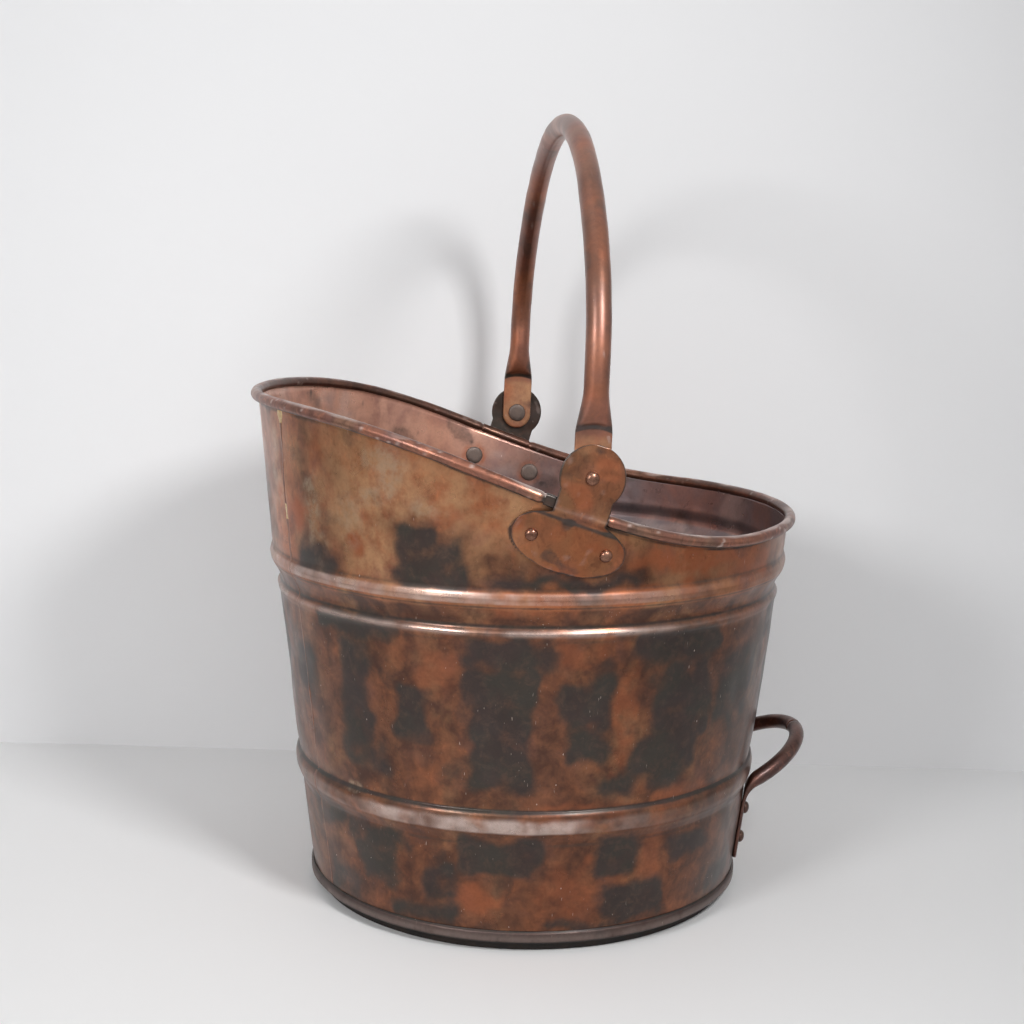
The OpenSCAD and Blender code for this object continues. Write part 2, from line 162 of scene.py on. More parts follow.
def superellipse(power, count, start):
    """A closed superellipse of unit half sizes, from that angle on."""
    t = start + np.arange(count) * 2 * np.pi / count
    c, s = np.cos(t), np.sin(t)
    return np.sign(c) * np.abs(c) ** (2 / power), np.sign(s) * np.abs(s) ** (2 / power)


def curve_through(x, xs, ys):
    """A smooth curve through points, with slopes that never overshoot."""
    xs, ys = np.asarray(xs, float), np.asarray(ys, float)
    h, d = np.diff(xs), np.diff(ys) / np.diff(xs)
    m = np.zeros(len(xs))
    for i in range(1, len(xs) - 1):
        if d[i - 1] * d[i] > 0:
            w1, w2 = 2 * h[i] + h[i - 1], h[i] + 2 * h[i - 1]
            m[i] = (w1 + w2) / (w1 / d[i - 1] + w2 / d[i])
    x = np.clip(x, xs[0], xs[-1])
    i = np.clip(np.searchsorted(xs, x, side="right") - 1, 0, len(xs) - 2)
    t = (x - xs[i]) / h[i]
    return ((2 * t**3 - 3 * t**2 + 1) * ys[i] + (t**3 - 2 * t**2 + t) * h[i] * m[i]
            + (-2 * t**3 + 3 * t**2) * ys[i + 1] + (t**3 - t**2) * h[i] * m[i + 1])


def grid(name, pts, wrap=(True, True), caps=False, attrs=None, mats=(), face_mat=None):
    """A mesh object from a grid of points in mm, closed round either way, and with its ends filled."""
    n, m = pts.shape[:2]
    i, j = np.meshgrid(np.arange(n if wrap[0] else n - 1), np.arange(m if wrap[1] else m - 1), indexing="ij")
    i2, j2 = (i + 1) % n, (j + 1) % m
    faces = np.stack([i * m + j, i2 * m + j, i2 * m + j2, i * m + j2], -1).reshape(-1, 4).tolist()
    if caps:
        faces.append(list(range(m)))
        faces.append(list(range((n - 1) * m, n * m))[::-1])
    me = bpy.data.meshes.new(name)
    me.from_pydata((pts.reshape(-1, 3) * MM).tolist(), [], faces)
    for key, value in (attrs or {}).items():
        a = me.attributes.new(key, "FLOAT", "POINT")
        a.data.foreach_set("value", np.asarray(value, np.float32).reshape(-1))
    ob = new_object(name, me)
    for mat in mats:
        me.materials.append(mat)
    if face_mat is not None:
        idx = np.zeros(len(faces), np.int32)
        idx[: face_mat.size] = face_mat.reshape(-1)
        me.polygons.foreach_set("material_index", idx)
    bm = bmesh.new()
    bm.from_mesh(me)
    bmesh.ops.remove_doubles(bm, verts=bm.verts, dist=2e-7)
    bmesh.ops.recalc_face_normals(bm, faces=bm.faces)
    for f in bm.faces:
        f.smooth = True
    bm.to_mesh(me)
    bm.free()
    return ob


def dress(ob, body, slot, *nodes):
    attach(ob, body)
    if nodes:
        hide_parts(*nodes)
    return ob


def polar(a, r, z):
    return np.stack([r * np.cos(a), r * np.sin(a), z + 0 * a], -1)


# ---- materials
def lin(*rgb):
    """Red, green and blue from 0 to 255, as the linear colour that a shader takes."""
    return (*(v / 12.92 if v <= 0.04045 else ((v + 0.055) / 1.055) ** 2.4 for v in (c / 255 for c in rgb)), 1)


def fill(sockets, values):
    """Set or link a node's sockets."""
    for key, value in values.items():
        if isinstance(value, bpy.types.NodeSocket):
            sockets[key].id_data.links.new(value, sockets[key])
        else:
            sockets[key].default_value = value


def new_node(tree, kind, values=()):
    n = tree.nodes.new("ShaderNode" + kind)
    fill(n.inputs, dict(values))
    return n


class Tree:
    """One Principled material, with short ways to add nodes to it."""

    def __init__(self, name):
        self.mat = bpy.data.materials.new(name)
        self.mat.use_nodes = True
        self.t = self.mat.node_tree
        self.shader = self.t.nodes["Principled BSDF"]
        self.place = new_node(self.t, "TexCoord").outputs["Object"]

    def stretch(self, x, y, z, turn=(0, 0, 0)):
        values = {"Vector": self.place, "Scale": (x, y, z), "Rotation": turn}
        return new_node(self.t, "Mapping", values).outputs["Vector"]

    def noise(self, scale, detail=3, rough=0.55, distort=0.0, at=None):
        values = {"Vector": at or self.place, "Scale": scale, "Detail": detail, "Roughness": rough,
                  "Distortion": distort}
        return new_node(self.t, "TexNoise", values).outputs["Fac"]

    def cells(self, at):
        return new_node(self.t, "TexVoronoi", {"Vector": at, "Scale": 1}).outputs["Distance"]

    def span(self, value, lo, hi, a=0.0, b=1.0):
        values = {"Value": value, "From Min": lo, "From Max": hi, "To Min": a, "To Max": b}
        n = new_node(self.t, "MapRange", values)
        n.interpolation_type = "SMOOTHSTEP"
        return n.outputs["Result"]

    def math(self, op, a, b=0.0):
        n = new_node(self.t, "Math", {0: a, 1: b})
        n.operation = op
        return n.outputs[0]

    def mul(self, a, b):
        return self.math("MULTIPLY", a, b)

    def add(self, a, b):
        return self.math("ADD", a, b)

    def sub(self, a, b):
        return self.math("SUBTRACT", a, b)

    def mix(self, fac, a, b, how="MIX"):
        """The colours are sockets, or red, green and blue from 0 to 255."""
        a, b = (lin(*c) if isinstance(c, tuple) else c for c in (a, b))
        n = new_node(self.t, "Mix")
        n.data_type, n.blend_type = "RGBA", how
        fill(n.inputs, {0: fac, 6: a, 7: b})
        return n.outputs[2]

    def attr(self, name):
        n = new_node(self.t, "Attribute")
        n.attribute_name = name
        return n.outputs["Fac"]

    def bump(self, height, distance, strength):
        n = new_node(self.t, "Bump", {"Strength": strength, "Distance": distance, "Height": height})
        fill(self.shader.inputs, {"Normal": n.outputs["Normal"]})


# the halo tint paints dark halos round patches, and painted shade
WARM_TINT, HALO_AND_SHADE_TINT, ORANGE_TINT, PALE_TINT = (194, 146, 106), (80, 53, 42), (166, 94, 60), (180, 156, 130)
# the inside: lighter and pinker at the lip side as painted light, greyer and darker at the back as painted
# shade
INSIDE_LIT, INSIDE_FILM, INSIDE_SHADED = (206, 154, 132), (170, 122, 106), (112, 104, 108)
# dark tones for patina and for painted shade
PATINA_AND_SHADE, PATINA_AND_SHADE_GREEN, PATINA_AND_SHADE_BROWN, PATINA_AND_SHADE_RED = (46, 37, 34), (47, 44, 38), (84, 60, 50), (58, 40, 38)
# the rub tint paints rubbed places and painted highlights
RUB_AND_HIGHLIGHT_TINT, SCRATCHED, PITTED, GRIMED = (210, 189, 180), (226, 204, 190), (60, 44, 38), (60, 42, 36)


def copper(name, brown, orange, olive, film, rough=0.3, metal=0.88, specks=1.0, coat=0.3, coat_rough=0.24,
           mottle=1.0, patches=True):
    """Old copper: brown, orange and olive mottling, a reddish film, scratches, specks and pits.

    With patches, the mesh's attributes give patina and painted shade, dark halos and painted shade, warm,
    orange and pale tones, rubbing and painted highlights, the inside, and the inside's back in painted shade.
    """
    t = Tree(name)
    big, mid, fine = t.noise(17, 3, 0.5, 0.3), t.noise(52, 3, 0.5, 0.4), t.noise(420, 3, 0.6)
    runs = t.noise(34, 3, 0.5, 0.3, t.stretch(1, 1, 0.4))
    small = t.noise(190, 4, 0.62, 0.6, t.stretch(1, 1, 0.7))
    col = t.mix(t.span(big, 0.38, 0.64), brown, orange)
    col = t.mix(t.span(runs, 0.48, 0.70, 0, 0.75), col, olive)
    col = t.mix(t.span(mid, 0.48, 0.72, 0, 0.7), col, film)
    col = t.mix(t.span(small, 0.53, 0.66, 0, 0.5 * mottle), col, tuple(c * 0.62 for c in brown))
    col = t.mix(t.span(small, 0.45, 0.33, 0, 0.5 * mottle), col, tuple(min(255, c * 1.2) for c in orange))
    rough_v = t.span(mid, 0.3, 0.7, rough - 0.03, rough + 0.07)
    metal_v = t.span(mid, 0.4, 0.75, metal, metal - 0.12)
    if patches:
        col = t.mix(t.mul(t.attr("warm"), t.span(t.noise(70, 4, 0.6), 0.3, 0.66)), col, WARM_TINT)
        inside = t.attr("inside")
        # inside: painted light on the lip side, painted shade on the back
        near = t.mix(t.span(mid, 0.4, 0.7), INSIDE_LIT, INSIDE_FILM)
        inner_col = t.mix(t.attr("far"), near, INSIDE_SHADED)
        col = t.mix(t.mul(inside, t.span(runs, 0.3, 0.7, 0.7, 0.95)), col, inner_col)
        cloud = t.span(t.noise(60, 4, 0.6, 0.3), 0.25, 0.7, 0.45, 1)
        # dark halos round patches, and painted shade on the swage, the right side and the roll's inward face
        col = t.mix(t.mul(t.attr("halo_and_shade"), cloud), col, HALO_AND_SHADE_TINT)
        col = t.mix(t.mul(t.attr("orange"), t.span(t.noise(80, 3), 0.2, 0.6)), col, ORANGE_TINT)
        col = t.mix(t.mul(t.attr("pale"), t.span(t.noise(110, 4, 0.65), 0.32, 0.68)), col, PALE_TINT)
        ragged = t.add(t.mul(t.noise(95, 4, 0.6, 0.4), 0.5), t.mul(t.noise(420, 3, 0.6), 0.16))
        # dark patches: patina, and painted shade in creases, under the roll, under folds and at the foot
        patina_and_shade_mask = t.span(t.add(t.attr("patina_and_shade"), t.sub(ragged, 0.33)), 0.14, 0.84)
        tone = t.mix(t.span(t.noise(30, 3), 0.42, 0.6), PATINA_AND_SHADE, PATINA_AND_SHADE_GREEN)
        tone = t.mix(t.span(t.noise(120, 5, 0.68, 0.4), 0.46, 0.78, 0, 0.75), tone, PATINA_AND_SHADE_BROWN)
        tone = t.mix(t.span(t.noise(45, 3), 0.5, 0.7, 0, 0.5), tone, PATINA_AND_SHADE_RED)
        col = t.mix(t.mul(patina_and_shade_mask, 0.95), col, tone)
        rough_v = t.add(rough_v, t.mul(patina_and_shade_mask, 0.04))
        metal_v = t.sub(t.sub(metal_v, t.mul(patina_and_shade_mask, 0.35)), t.mul(inside, 0.2))
        # pale: rubbed places, and painted highlights where the mesh asks for them
        rub_and_highlight = t.mul(t.attr("rub_and_highlight"), t.span(t.noise(60, 3, 0.5), 0.15, 0.5))
        col = t.mix(t.mul(rub_and_highlight, 0.75), col, RUB_AND_HIGHLIGHT_TINT)
        rough_v = t.sub(rough_v, t.mul(rub_and_highlight, 0.06))
    col = t.mix(t.span(fine, 0.4, 0.75, 0.0, 0.12), col, GRIMED, "MULTIPLY")
    scratches = None
    for k, turned in enumerate(((0.1, 0.2, 0.3), (0.9, -0.4, 0.2), (-0.5, 0.7, 0.6))):
        one_way = t.span(t.noise(1.0, 2, 0.5, 0, t.stretch(1200, 1200, 130, turned)), 0.72, 0.77)
        one_way = t.mul(one_way, t.span(t.noise(26 + 7 * k, 2), 0.54, 0.62))
        scratches = one_way if scratches is None else t.math("MAXIMUM", scratches, one_way)
    dots = t.math("LESS_THAN", t.cells(t.stretch(230, 230, 90, (0.5, 0.3, 0.2))), 0.06)
    dots = t.mul(dots, t.span(t.noise(40, 3), 0.6, 0.64))
    marks = t.mul(t.math("MAXIMUM", t.mul(scratches, 0.6), dots), 0.8 * specks)
    col = t.mix(marks, col, SCRATCHED)
    pits = t.span(t.noise(800, 2, 0.6), 0.64, 0.74)
    col = t.mix(t.mul(pits, 0.16), col, PITTED)
    metal_v = t.math("MAXIMUM", metal_v, 0.2)
    fill(t.shader.inputs, {"Base Color": col, "Roughness": rough_v, "Metallic": metal_v, "Coat Weight": coat,
                           "Coat Roughness": coat_rough})
    t.bump(t.add(t.mul(mid, 0.5), t.mul(t.sub(fine, t.mul(pits, 0.6)), 0.12)), 0.0006, 0.25 * mottle)
    return t.mat


def plain_metal(name, base, second, rough, metal, scale, grain):
    t = Tree(name)
    a, b = t.noise(scale, 5, 0.65), t.noise(scale * 6, 3, 0.6)
    col = t.mix(t.span(b, 0.5, 0.8, 0, 0.3), t.mix(t.span(a, 0.35, 0.68), base, second), (30, 24, 22))
    fill(t.shader.inputs, {"Base Color": col, "Roughness": t.span(a, 0.3, 0.7, rough - 0.06, rough + 0.1),
                           "Metallic": metal})
    t.bump(t.add(a, t.mul(b, 0.4)), 0.0005, grain)
    return t.mat


m_wall = copper("copper_wall", (162, 106, 76), (178, 108, 70), (176, 132, 94), (138, 88, 72), coat=0.2,
                mottle=0.65)
m_rim = copper("copper_rim", (134, 90, 76), (150, 98, 76), (142, 108, 88), (112, 76, 70), rough=0.34,
               specks=0.5, coat=0.2)
m_band = copper("copper_foot", (52, 36, 34), (60, 40, 35), (54, 42, 39), (42, 33, 33), rough=0.46, coat=0.1)
m_ear = copper("copper_ear", (142, 90, 62), (152, 94, 60), (142, 100, 68), (126, 80, 62), rough=0.36,
               specks=0.4)
m_bail = copper("copper_bail", (136, 86, 68), (154, 94, 64), (134, 94, 74), (112, 70, 60), rough=0.42,
                metal=0.8, specks=0.4, coat=0.6, coat_rough=0.33, mottle=0.35)
m_grip = copper("copper_grip", (90, 60, 52), (106, 68, 56), (94, 72, 62), (76, 56, 54), rough=0.32,
                specks=0.5, patches=False)
m_dome = plain_metal("rivet_copper", (112, 76, 62), (140, 102, 84), 0.24, 0.85, 160, 0.15)
m_dull = plain_metal("rivet_dull", (78, 58, 52), (98, 74, 64), 0.38, 0.8, 160, 0.2)
m_flat = plain_metal("rivet_dark", (96, 84, 78), (112, 96, 88), 0.5, 0.6, 200, 0.3)
m_iron = plain_metal("black_iron", (34, 31, 30), (52, 42, 37), 0.6, 0.4, 90, 0.5)
m_brass = plain_metal("spelter", (190, 150, 90), (222, 204, 168), 0.4, 0.7, 300, 0.4)
m_braze = plain_metal("braze_dull", (122, 84, 70), (150, 108, 88), 0.36, 0.85, 240, 0.3)


# ---- the wall
LOW_SWAGE = ([-28, -17, -11.5, -8, -4, 0, 4, 7.5, 10, 11, 12.5, 18, 30],
             [0, -0.2, -0.45, 0.5, 2.0, 2.7, 2.6, 1.8, 0.3, -0.7, -0.8, -0.3, 0])
HIGH_SWAGE = ([200, 208, 210.5, 212.5, 214, 215.5, 217.3, 219, 221.5, 225, 228, 231, 233.5, 236, 239, 242,
               244.5, 250],
              [0, 0, 0.2, 0.8, 1.0, 0.6, -0.7, -1.4, -1.4, -0.6, 0.6, 2.0, 2.75, 2.8, 2.0, 0.7, 0.1, 0])


def swage(z):
    """How far the bead and the ridges stand off the plain wall, in mm."""
    return curve_through(z - BEAD_Z, *LOW_SWAGE) + curve_through(z, *HIGH_SWAGE)


LOW_ARC, HIGH_ARC = 2.9, 3.05  # mm of wall in a degree, low down and high up


def boxed(a, z, a0, a1, z0, z1, soft):
    """A soft-edged mask over a range of angles (degrees) and heights (mm)."""
    corner = min(7, 0.5 * LOW_ARC * (a1 - a0), 0.5 * (z1 - z0))
    da = (np.abs((a - (a0 + a1) / 2 + 180) % 360 - 180) - (a1 - a0) / 2) * LOW_ARC + corner
    dz = np.abs(z - (z0 + z1) / 2) - (z1 - z0) / 2 + corner
    out = np.hypot(np.maximum(da, 0), np.maximum(dz, 0)) + np.minimum(np.maximum(da, dz), 0) - corner
    return smooth(-out, -soft - 1, soft + 1)


def blots(a, z, spots, p, seed):
    """Soft ovals given as angle, height, half sizes across and up in mm, and strength."""
    wob = 0.22 * field(p, 22, seed) + 0.12 * field(p, 9, seed + 1)
    out = np.zeros_like(z)
    for a0, z0, rx, rz, s in spots:
        far = np.hypot(((a - a0 + 180) % 360 - 180) * HIGH_ARC / rx, (z - z0) / rz) + wob
        out = np.maximum(out, s * (1 - smooth(far, 0.55, 1.35)))
    return out


DARK = [  # angle from, to, height from, to, strength, softness
    (236.5, 244.5, 240, 277, 0.95, 3), (242, 250.5, 240, 270, 0.95, 3), (207, 220, 240, 257, 0.85, 4),
    (255, 285, 243, 251, 0.9, 3), (212, 234, 203, 219, 0.95, 4), (218, 226.5, 116, 204, 0.85, 6),
    (224, 231, 114, 136, 0.85, 6), (197, 208, 149, 187, 0.85, 6), (233.7, 241, 139, 177, 1.0, 3.5),
    (249.5, 268, 191, 210, 1.0, 4), (250.5, 264.5, 110, 192, 1.0, 3.5), (271, 281, 128, 187, 0.95, 4),
    (286, 308, 193, 214, 0.95, 4), (291, 307.5, 140, 194, 0.95, 5), (286, 304, 115, 144, 1.0, 4),
    (280, 300, 106, 121, 0.85, 5), (309, 326, 142, 193, 0.9, 5), (215, 235, 61, 77, 0.9, 4),
    (219.5, 231, 36, 69, 0.85, 5), (228, 248, 16, 27, 0.9, 4), (238, 246, 30, 58, 0.85, 5),
    (204, 218, 14, 36, 0.8, 6), (199, 215, 60, 77, 0.85, 5), (246.5, 266.5, 54, 77, 1.0, 4),
    (280, 290, 53, 78, 0.95, 4), (298.5, 313, 53, 72, 0.9, 4), (282.5, 298.5, 21, 44, 1.0, 4),
    (268, 300, 15, 22, 0.85, 3), (316, 330, 18, 38, 0.8, 5),
    # the unseen side
    (336, 352, 112, 205, 0.9, 5), (330, 344, 190, 214, 0.9, 4), (350, 366, 56, 78, 0.85, 5),
    (336, 350, 20, 48, 0.9, 5), (10, 24, 118, 190, 0.95, 5), (28, 38, 150, 210, 0.85, 5),
    (36, 50, 118, 168, 0.9, 5), (60, 72, 112, 200, 0.95, 5), (82, 97, 128, 208, 0.95, 5),
    (70, 90, 54, 76, 0.9, 4), (76, 88, 20, 50, 0.9, 5), (106, 118, 112, 172, 0.9, 5),
    (116, 128, 160, 208, 0.9, 4), (134, 147, 140, 211, 0.9, 5), (156, 170, 116, 186, 0.9, 5),
    (118, 138, 50, 74, 0.9, 4), (124, 134, 18, 52, 0.9, 5), (28, 48, 22, 50, 0.9, 5),
    (160, 182, 40, 76, 0.85, 5), (178, 190, 150, 206, 0.85, 5), (75, 104, 243, 252, 0.9, 3),
    (142, 157, 246, 286, 0.85, 4), (24, 40, 244, 256, 0.8, 4), (178, 189, 252, 292, 0.6, 6)]
ORANGE = [  # angle, height, half sizes across and up in mm, strength
    (206.2, 270, 11, 15, 1.0), (226, 266, 6, 8, 1.0), (246, 285, 8, 6, 0.6), (243, 190, 16, 20, 0.35),
    (262, 234, 30, 8, 0.5), (272, 200, 14, 10, 0.4), (285, 160, 9, 30, 0.5), (276, 95, 40, 8, 0.4),
    (300, 100, 30, 7, 0.4), (274, 40, 20, 18, 0.4), (294, 62, 10, 16, 0.3), (252, 36, 14, 12, 0.6),
    (236, 200, 10, 9, 0.25), (300, 262, 44, 15, 0.85), (316, 250, 24, 10, 0.7), (282, 240, 40, 5, 0.6),
    (20, 262, 18, 10, 0.6), (52, 190, 14, 18, 0.6), (76, 150, 12, 24, 0.5), (126, 130, 16, 16, 0.6),
    (150, 90, 30, 8, 0.4), (110, 40, 20, 16, 0.6), (168, 300, 14, 16, 0.6), (120, 275, 14, 8, 0.6),
    (0, 170, 12, 26, 0.5)]
PALE = [  # as ORANGE; the first, a tall pale strip left of the seam, is a painted reflection
    (199.5, 302, 8, 34, 0.45), (234, 314, 15, 14, 0.6), (219.5, 98, 8, 3.4, 0.9), (214, 284, 10, 14, 0.75),
    (215, 256, 9, 12, 0.6), (232, 296, 12, 8, 0.6), (243, 290, 14, 7, 0.5), (224, 276, 9, 18, 0.4),
    (160, 280, 16, 14, 0.6), (96, 262, 16, 8, 0.5)]
DENTS = [  # angle, height, radius, depth
    (275.7, 201, 3.6, -0.55), (264.2, 181.6, 3.4, -0.5), (271, 137, 8, 0.75), (261, 168, 10, 0.7),
    (318, 160, 9, 0.7), (240, 60, 12, 0.8), (285, 48, 10, 0.6), (222, 150, 16, 0.7), (300, 250, 9, 0.5),
    (30, 140, 14, 0.8), (76, 60, 12, 0.8), (120, 180, 15, 0.7), (165, 90, 10, 0.6), (350, 170, 12, 0.7),
    (100, 150, 9, 0.6), (205, 130, 12, 0.6)]
CREASES = [  # strength, height, width of the painted shade lines in the creases along the bead and the ridges
    (1.0, 97.6, 1.4), (0.4, 94.8, 1.6), (0.75, 219, 1.6), (0.5, 74.5, 1.6), (0.45, 243, 1.3),
    (0.6, 231.8, 1.0), (0.4, 209.5, 1.4)]
TAN = [  # strength, angle from, to, height from, to, softness of the lighter brown places
    (0.6, 222, 246, 238, 262, 10), (0.65, 236, 263, 288, 322, 10), (0.5, 226, 262, 256, 296, 14),
    (0.4, 233, 243, 186, 205, 10)]


def calm(a, z):
    """Where something is riveted on, the wall keeps its true shape."""
    x = plain_r(z) * np.cos(a * DEG)
    tab = (1 - smooth(np.abs(x - TAB_X), 38, 46)) * (1 - smooth(np.abs(z - TAB_Z), 24, 32))
    y = plain_r(z) * np.sin(a * DEG)
    strip = (1 - smooth(np.abs(np.abs(y) - GRIP_Y), 9, 15)) * (np.cos(a * DEG) > 0) * (1 - smooth(z, 70, 78))
    return 1 - np.maximum.reduce([tab, strip, 1 - smooth(z, 16, 24)])


# the wall's grid of angles A and heights Z: level rows up to SPLIT_Z, rows that follow the rim above it
SPLIT_Z = 250.0
cols = np.unique(np.concatenate([
    np.arange(0, 360, 0.75), np.arange(200.25, 207.75, 0.25), np.arange(255.375, 286, 0.75)]))
z_low = np.unique(np.concatenate([
    np.arange(FOOT_Z, SPLIT_Z, 3.0), np.arange(66, 104, 1.0), np.arange(79.5, 98, 1.0),
    np.arange(206, SPLIT_Z, 1.0), np.arange(230.5, 244, 1.0), [SPLIT_Z]]))
t_high = np.linspace(0, 1, 34)[1:]
A = np.repeat(cols[:, None], len(z_low) + len(t_high), 1)
top = rim_height(cols * DEG) - BELOW_RIM
z_high = SPLIT_Z + (top[:, None] - SPLIT_Z) * t_high[None]
Z = np.concatenate([np.repeat(z_low[None], len(cols), 0), z_high], 1)
P0 = polar(A * DEG, plain_r(Z), Z)


def wall_r(a, z, p):
    """The hand-worked wall's outside: the turned profile with shallow waves, dents and the seam's lap."""
    wave = 0.34 * field(p, 110, 1) + 0.2 * field(p, 50, 2) + 0.1 * field(p, 26, 3)
    for da, dz, dr, depth in DENTS:
        far = np.hypot(((a - da + 180) % 360 - 180) * DEG * plain_r(z), z - dz)
        wave -= depth * peak(far, 0, dr)
    lap = smooth((a - (SEAM_ANGLE - 1.2)) % 360, 0, 1.5) * (1 - smooth((a - SEAM_ANGLE) % 360, 3, 14))
    lap = lap * ((a - SEAM_ANGLE + 1.2) % 360 < 20)
    return plain_r(z) + swage(z) + (wave * 0.8 + 0.25 * lap) * calm(a, z)


R = wall_r(A, Z, P0)
ragged = 1.7 * field(P0, 30, 11) + 0.8 * field(P0, 11, 12)
ragged_a = 0.6 * field(P0, 32, 13) + 0.28 * field(P0, 12, 14)
patina_and_shade, halo_and_shade = np.zeros_like(Z), np.zeros_like(Z)
for a0, a1, z0, z1, s, soft in DARK:
    spot = boxed(A + ragged_a, Z + ragged, a0 - 0.5, a1 + 0.5, z0 - 1, z1 + 1, soft + 2.5)
    patina_and_shade = np.maximum(patina_and_shade, s * spot)
    halo_and_shade = np.maximum(halo_and_shade, s * boxed(A + 2 * ragged_a, Z + 2 * ragged, a0 - 2, a1 + 2, z0 - 5, z1 + 5, 12))
halo_and_shade = 0.8 * halo_and_shade + (0.4 - 0.2 * smooth(Z, 240, 256)) * blotch(P0, 42, 26, 0.1, 1.5)
halo_and_shade += 0.2 * boxed(A, Z, 205, 217, 286, 350, 12)  # the upper left
halo_and_shade += 0.55 * boxed(A, Z + ragged, 250, 292, 243, 270, 9)  # under the ear
halo_and_shade += (0.84 + 0.14 * boxed(A, Z, 268, 340, 14, 215, 16)) * (1 - smooth(Z, 205, 232))  # the lower wall, darker all round and more so on the right
halo_and_shade -= 0.15 * blotch(P0, 36, 27, 0.3, 1.6)
cloud = smooth(field(P0, 24, 29) + 0.4 * field(P0, 8, 30), -0.2, 1.4) * smooth(Z, 238, 252)
halo_and_shade += (0.05 + 0.42 * boxed(A, Z, 190, 222, 240, 352, 14)) * cloud
halo_and_shade += 0.5 * boxed(A, Z, 301, 345, 232, 300, 16)  # the upper right: painted shade towards the right silhouette
halo_and_shade += 0.75 * smooth(Z, 215.5, 218) * (1 - smooth(Z, 229, 232)) + 0.45 * peak(Z, 242.3, 2.2)  # the swage: painted shade in the recess between the ridges and over the fillet above the upper ridge
halo_and_shade = np.clip(halo_and_shade, 0, 1)
patina_and_shade = np.clip(patina_and_shade * (0.92 + 0.12 * field(P0, 18, 15)), 0, 1)
patina_and_shade = np.maximum(patina_and_shade, 0.42 * blotch(P0, 34, 16, 0.9, 2.0))
patina_and_shade = np.maximum(patina_and_shade, 0.4 * boxed(A, Z, 302, 342, 20, 212, 14))
warm = 0.75 * boxed(A, Z + 0.5 * ragged, 212, 236, 258, 330, 16)
for s, a0, a1, z0, z1, soft in TAN:
    warm += s * boxed(A, Z + ragged, a0, a1, z0, z1, soft)
warm += 0.5 * boxed(A, Z, 30, 150, 236, 265, 10) + 0.35 * blotch(P0, 60, 17, 0.6, 1.8)
# painted highlights: a pale band on the upper ridge's crest, brighter on the left, a pale line on the small
# ridge below it, and a broad pale band on the bead, all weaker on the right
rub_and_highlight = smooth(Z, 233.4, 234.4) * (1 - smooth(Z, 239.6, 241.4))
rub_and_highlight *= 0.42 + 0.4 * boxed(A, Z, 203, 262, 225, 245, 12)
rub_and_highlight += 0.8 * peak(Z, 214.8, 1.6)
bead_top = 1 - smooth(Z + 0.3 * field(P0, 16, 24), 90.5, 94.5)
bead_foot = smooth(Z + 0.15 * field(P0, 14, 25), 82.4, 84.2)
rub_and_highlight += (0.3 + 0.7 * boxed(A, Z, 226, 276, 70, 100, 9)) * bead_foot * bead_top
rub_and_highlight *= np.clip(0.8 + 0.22 * field(P0, 40, 18) + 0.12 * field(P0, 8, 19), 0.2, 1)
rub_and_highlight *= 1 - 0.7 * boxed(A, Z, 294, 345, 0, 400, 25)
# painted shade in the creases along the bead and the ridges
crease_shade = sum(s * peak(Z, at, wide) for s, at, wide in CREASES)
# painted shadow on the wall just under the rolled edge
under_roll = top[:, None] + BELOW_RIM - Z
crease_shade += 0.8 * peak(under_roll, 4.6, 1.1) * np.clip(0.8 + 0.3 * field(P0, 25, 20), 0.3, 1)
tab_x, tab_z = P0[..., 0] - TAB_X, P0[..., 2] - TAB_Z
tab_u = tab_x * math.cos(EAR_TURN) - tab_z * math.sin(EAR_TURN)
tab_v = tab_x * math.sin(EAR_TURN) + tab_z * math.cos(EAR_TURN)
# a dark line on the wall round the ear tab's lower edge
tab_edge = peak(np.hypot(tab_u / TAB_W, tab_v / TAB_H), 1.015, 0.034) * (1 - smooth(tab_v, 6, 14))
crease_shade += 0.8 * tab_edge * np.clip(0.8 + 0.3 * field(P0, 20, 28), 0.2, 1)
patina_and_shade = np.clip(np.maximum(patina_and_shade * (1 - 0.85 * np.clip(rub_and_highlight, 0, 1)), crease_shade), 0, 1)
orange = blots(A, Z, ORANGE, P0, 21)
pale = blots(A, Z, PALE, P0, 23)

outer = polar(A * DEG, R, Z)
inner_rows = np.unique(np.concatenate([np.arange(0, A.shape[1], 2), [A.shape[1] - 1]]))[::-1]
inner = polar(A * DEG, R - SHEET, Z)[:, inner_rows]
shell = np.concatenate([outer, inner], 1)
zero = np.zeros((len(cols), len(inner_rows)))
spots = np.clip(0.45 * blotch(inner, 30, 31, 0.8, 1.9) + 0.4 * blotch(inner, 7, 32, 1.9, 2.6), 0, 1)
# painted reflections: pale sheen in blotches over the inside
sheen = 0.3 * smooth(field(inner, 46, 34) + 0.4 * field(inner, 14, 35), 0.4, 2.0)
# painted shade over the back half of the inside
shaded_inside = smooth(inner[..., 0] + 14 * field(inner, 60, 33), -60, 60)
rings = np.zeros_like(zero)  # a warm ring round each of the ear rivets' inner heads
for side in (-1, 1):
    for along in (-1, 1):
        x, z = ear_rivet_xz(along)
        head = np.array([x, side * math.sqrt(float(plain_r(z)) ** 2 - x * x), z])
        far = np.linalg.norm(inner - head * [0.993, 0.993, 1], axis=-1)
        rings = np.maximum(rings, smooth(far, 6, 7.2) * (1 - smooth(far, 8, 11)))
looks = {  # outside, inside
    "patina_and_shade": (patina_and_shade, spots), "warm": (np.clip(warm, 0, 1), zero), "rub_and_highlight": (np.clip(rub_and_highlight, 0, 1), sheen),
    "orange": (orange, 0.9 * rings), "pale": (pale, zero), "halo_and_shade": (halo_and_shade, 0.6 * spots),
    "far": (0 * Z, shaded_inside), "inside": (0 * Z, zero + 1)}
looks = {key: np.concatenate(pair, 1) for key, pair in looks.items()}
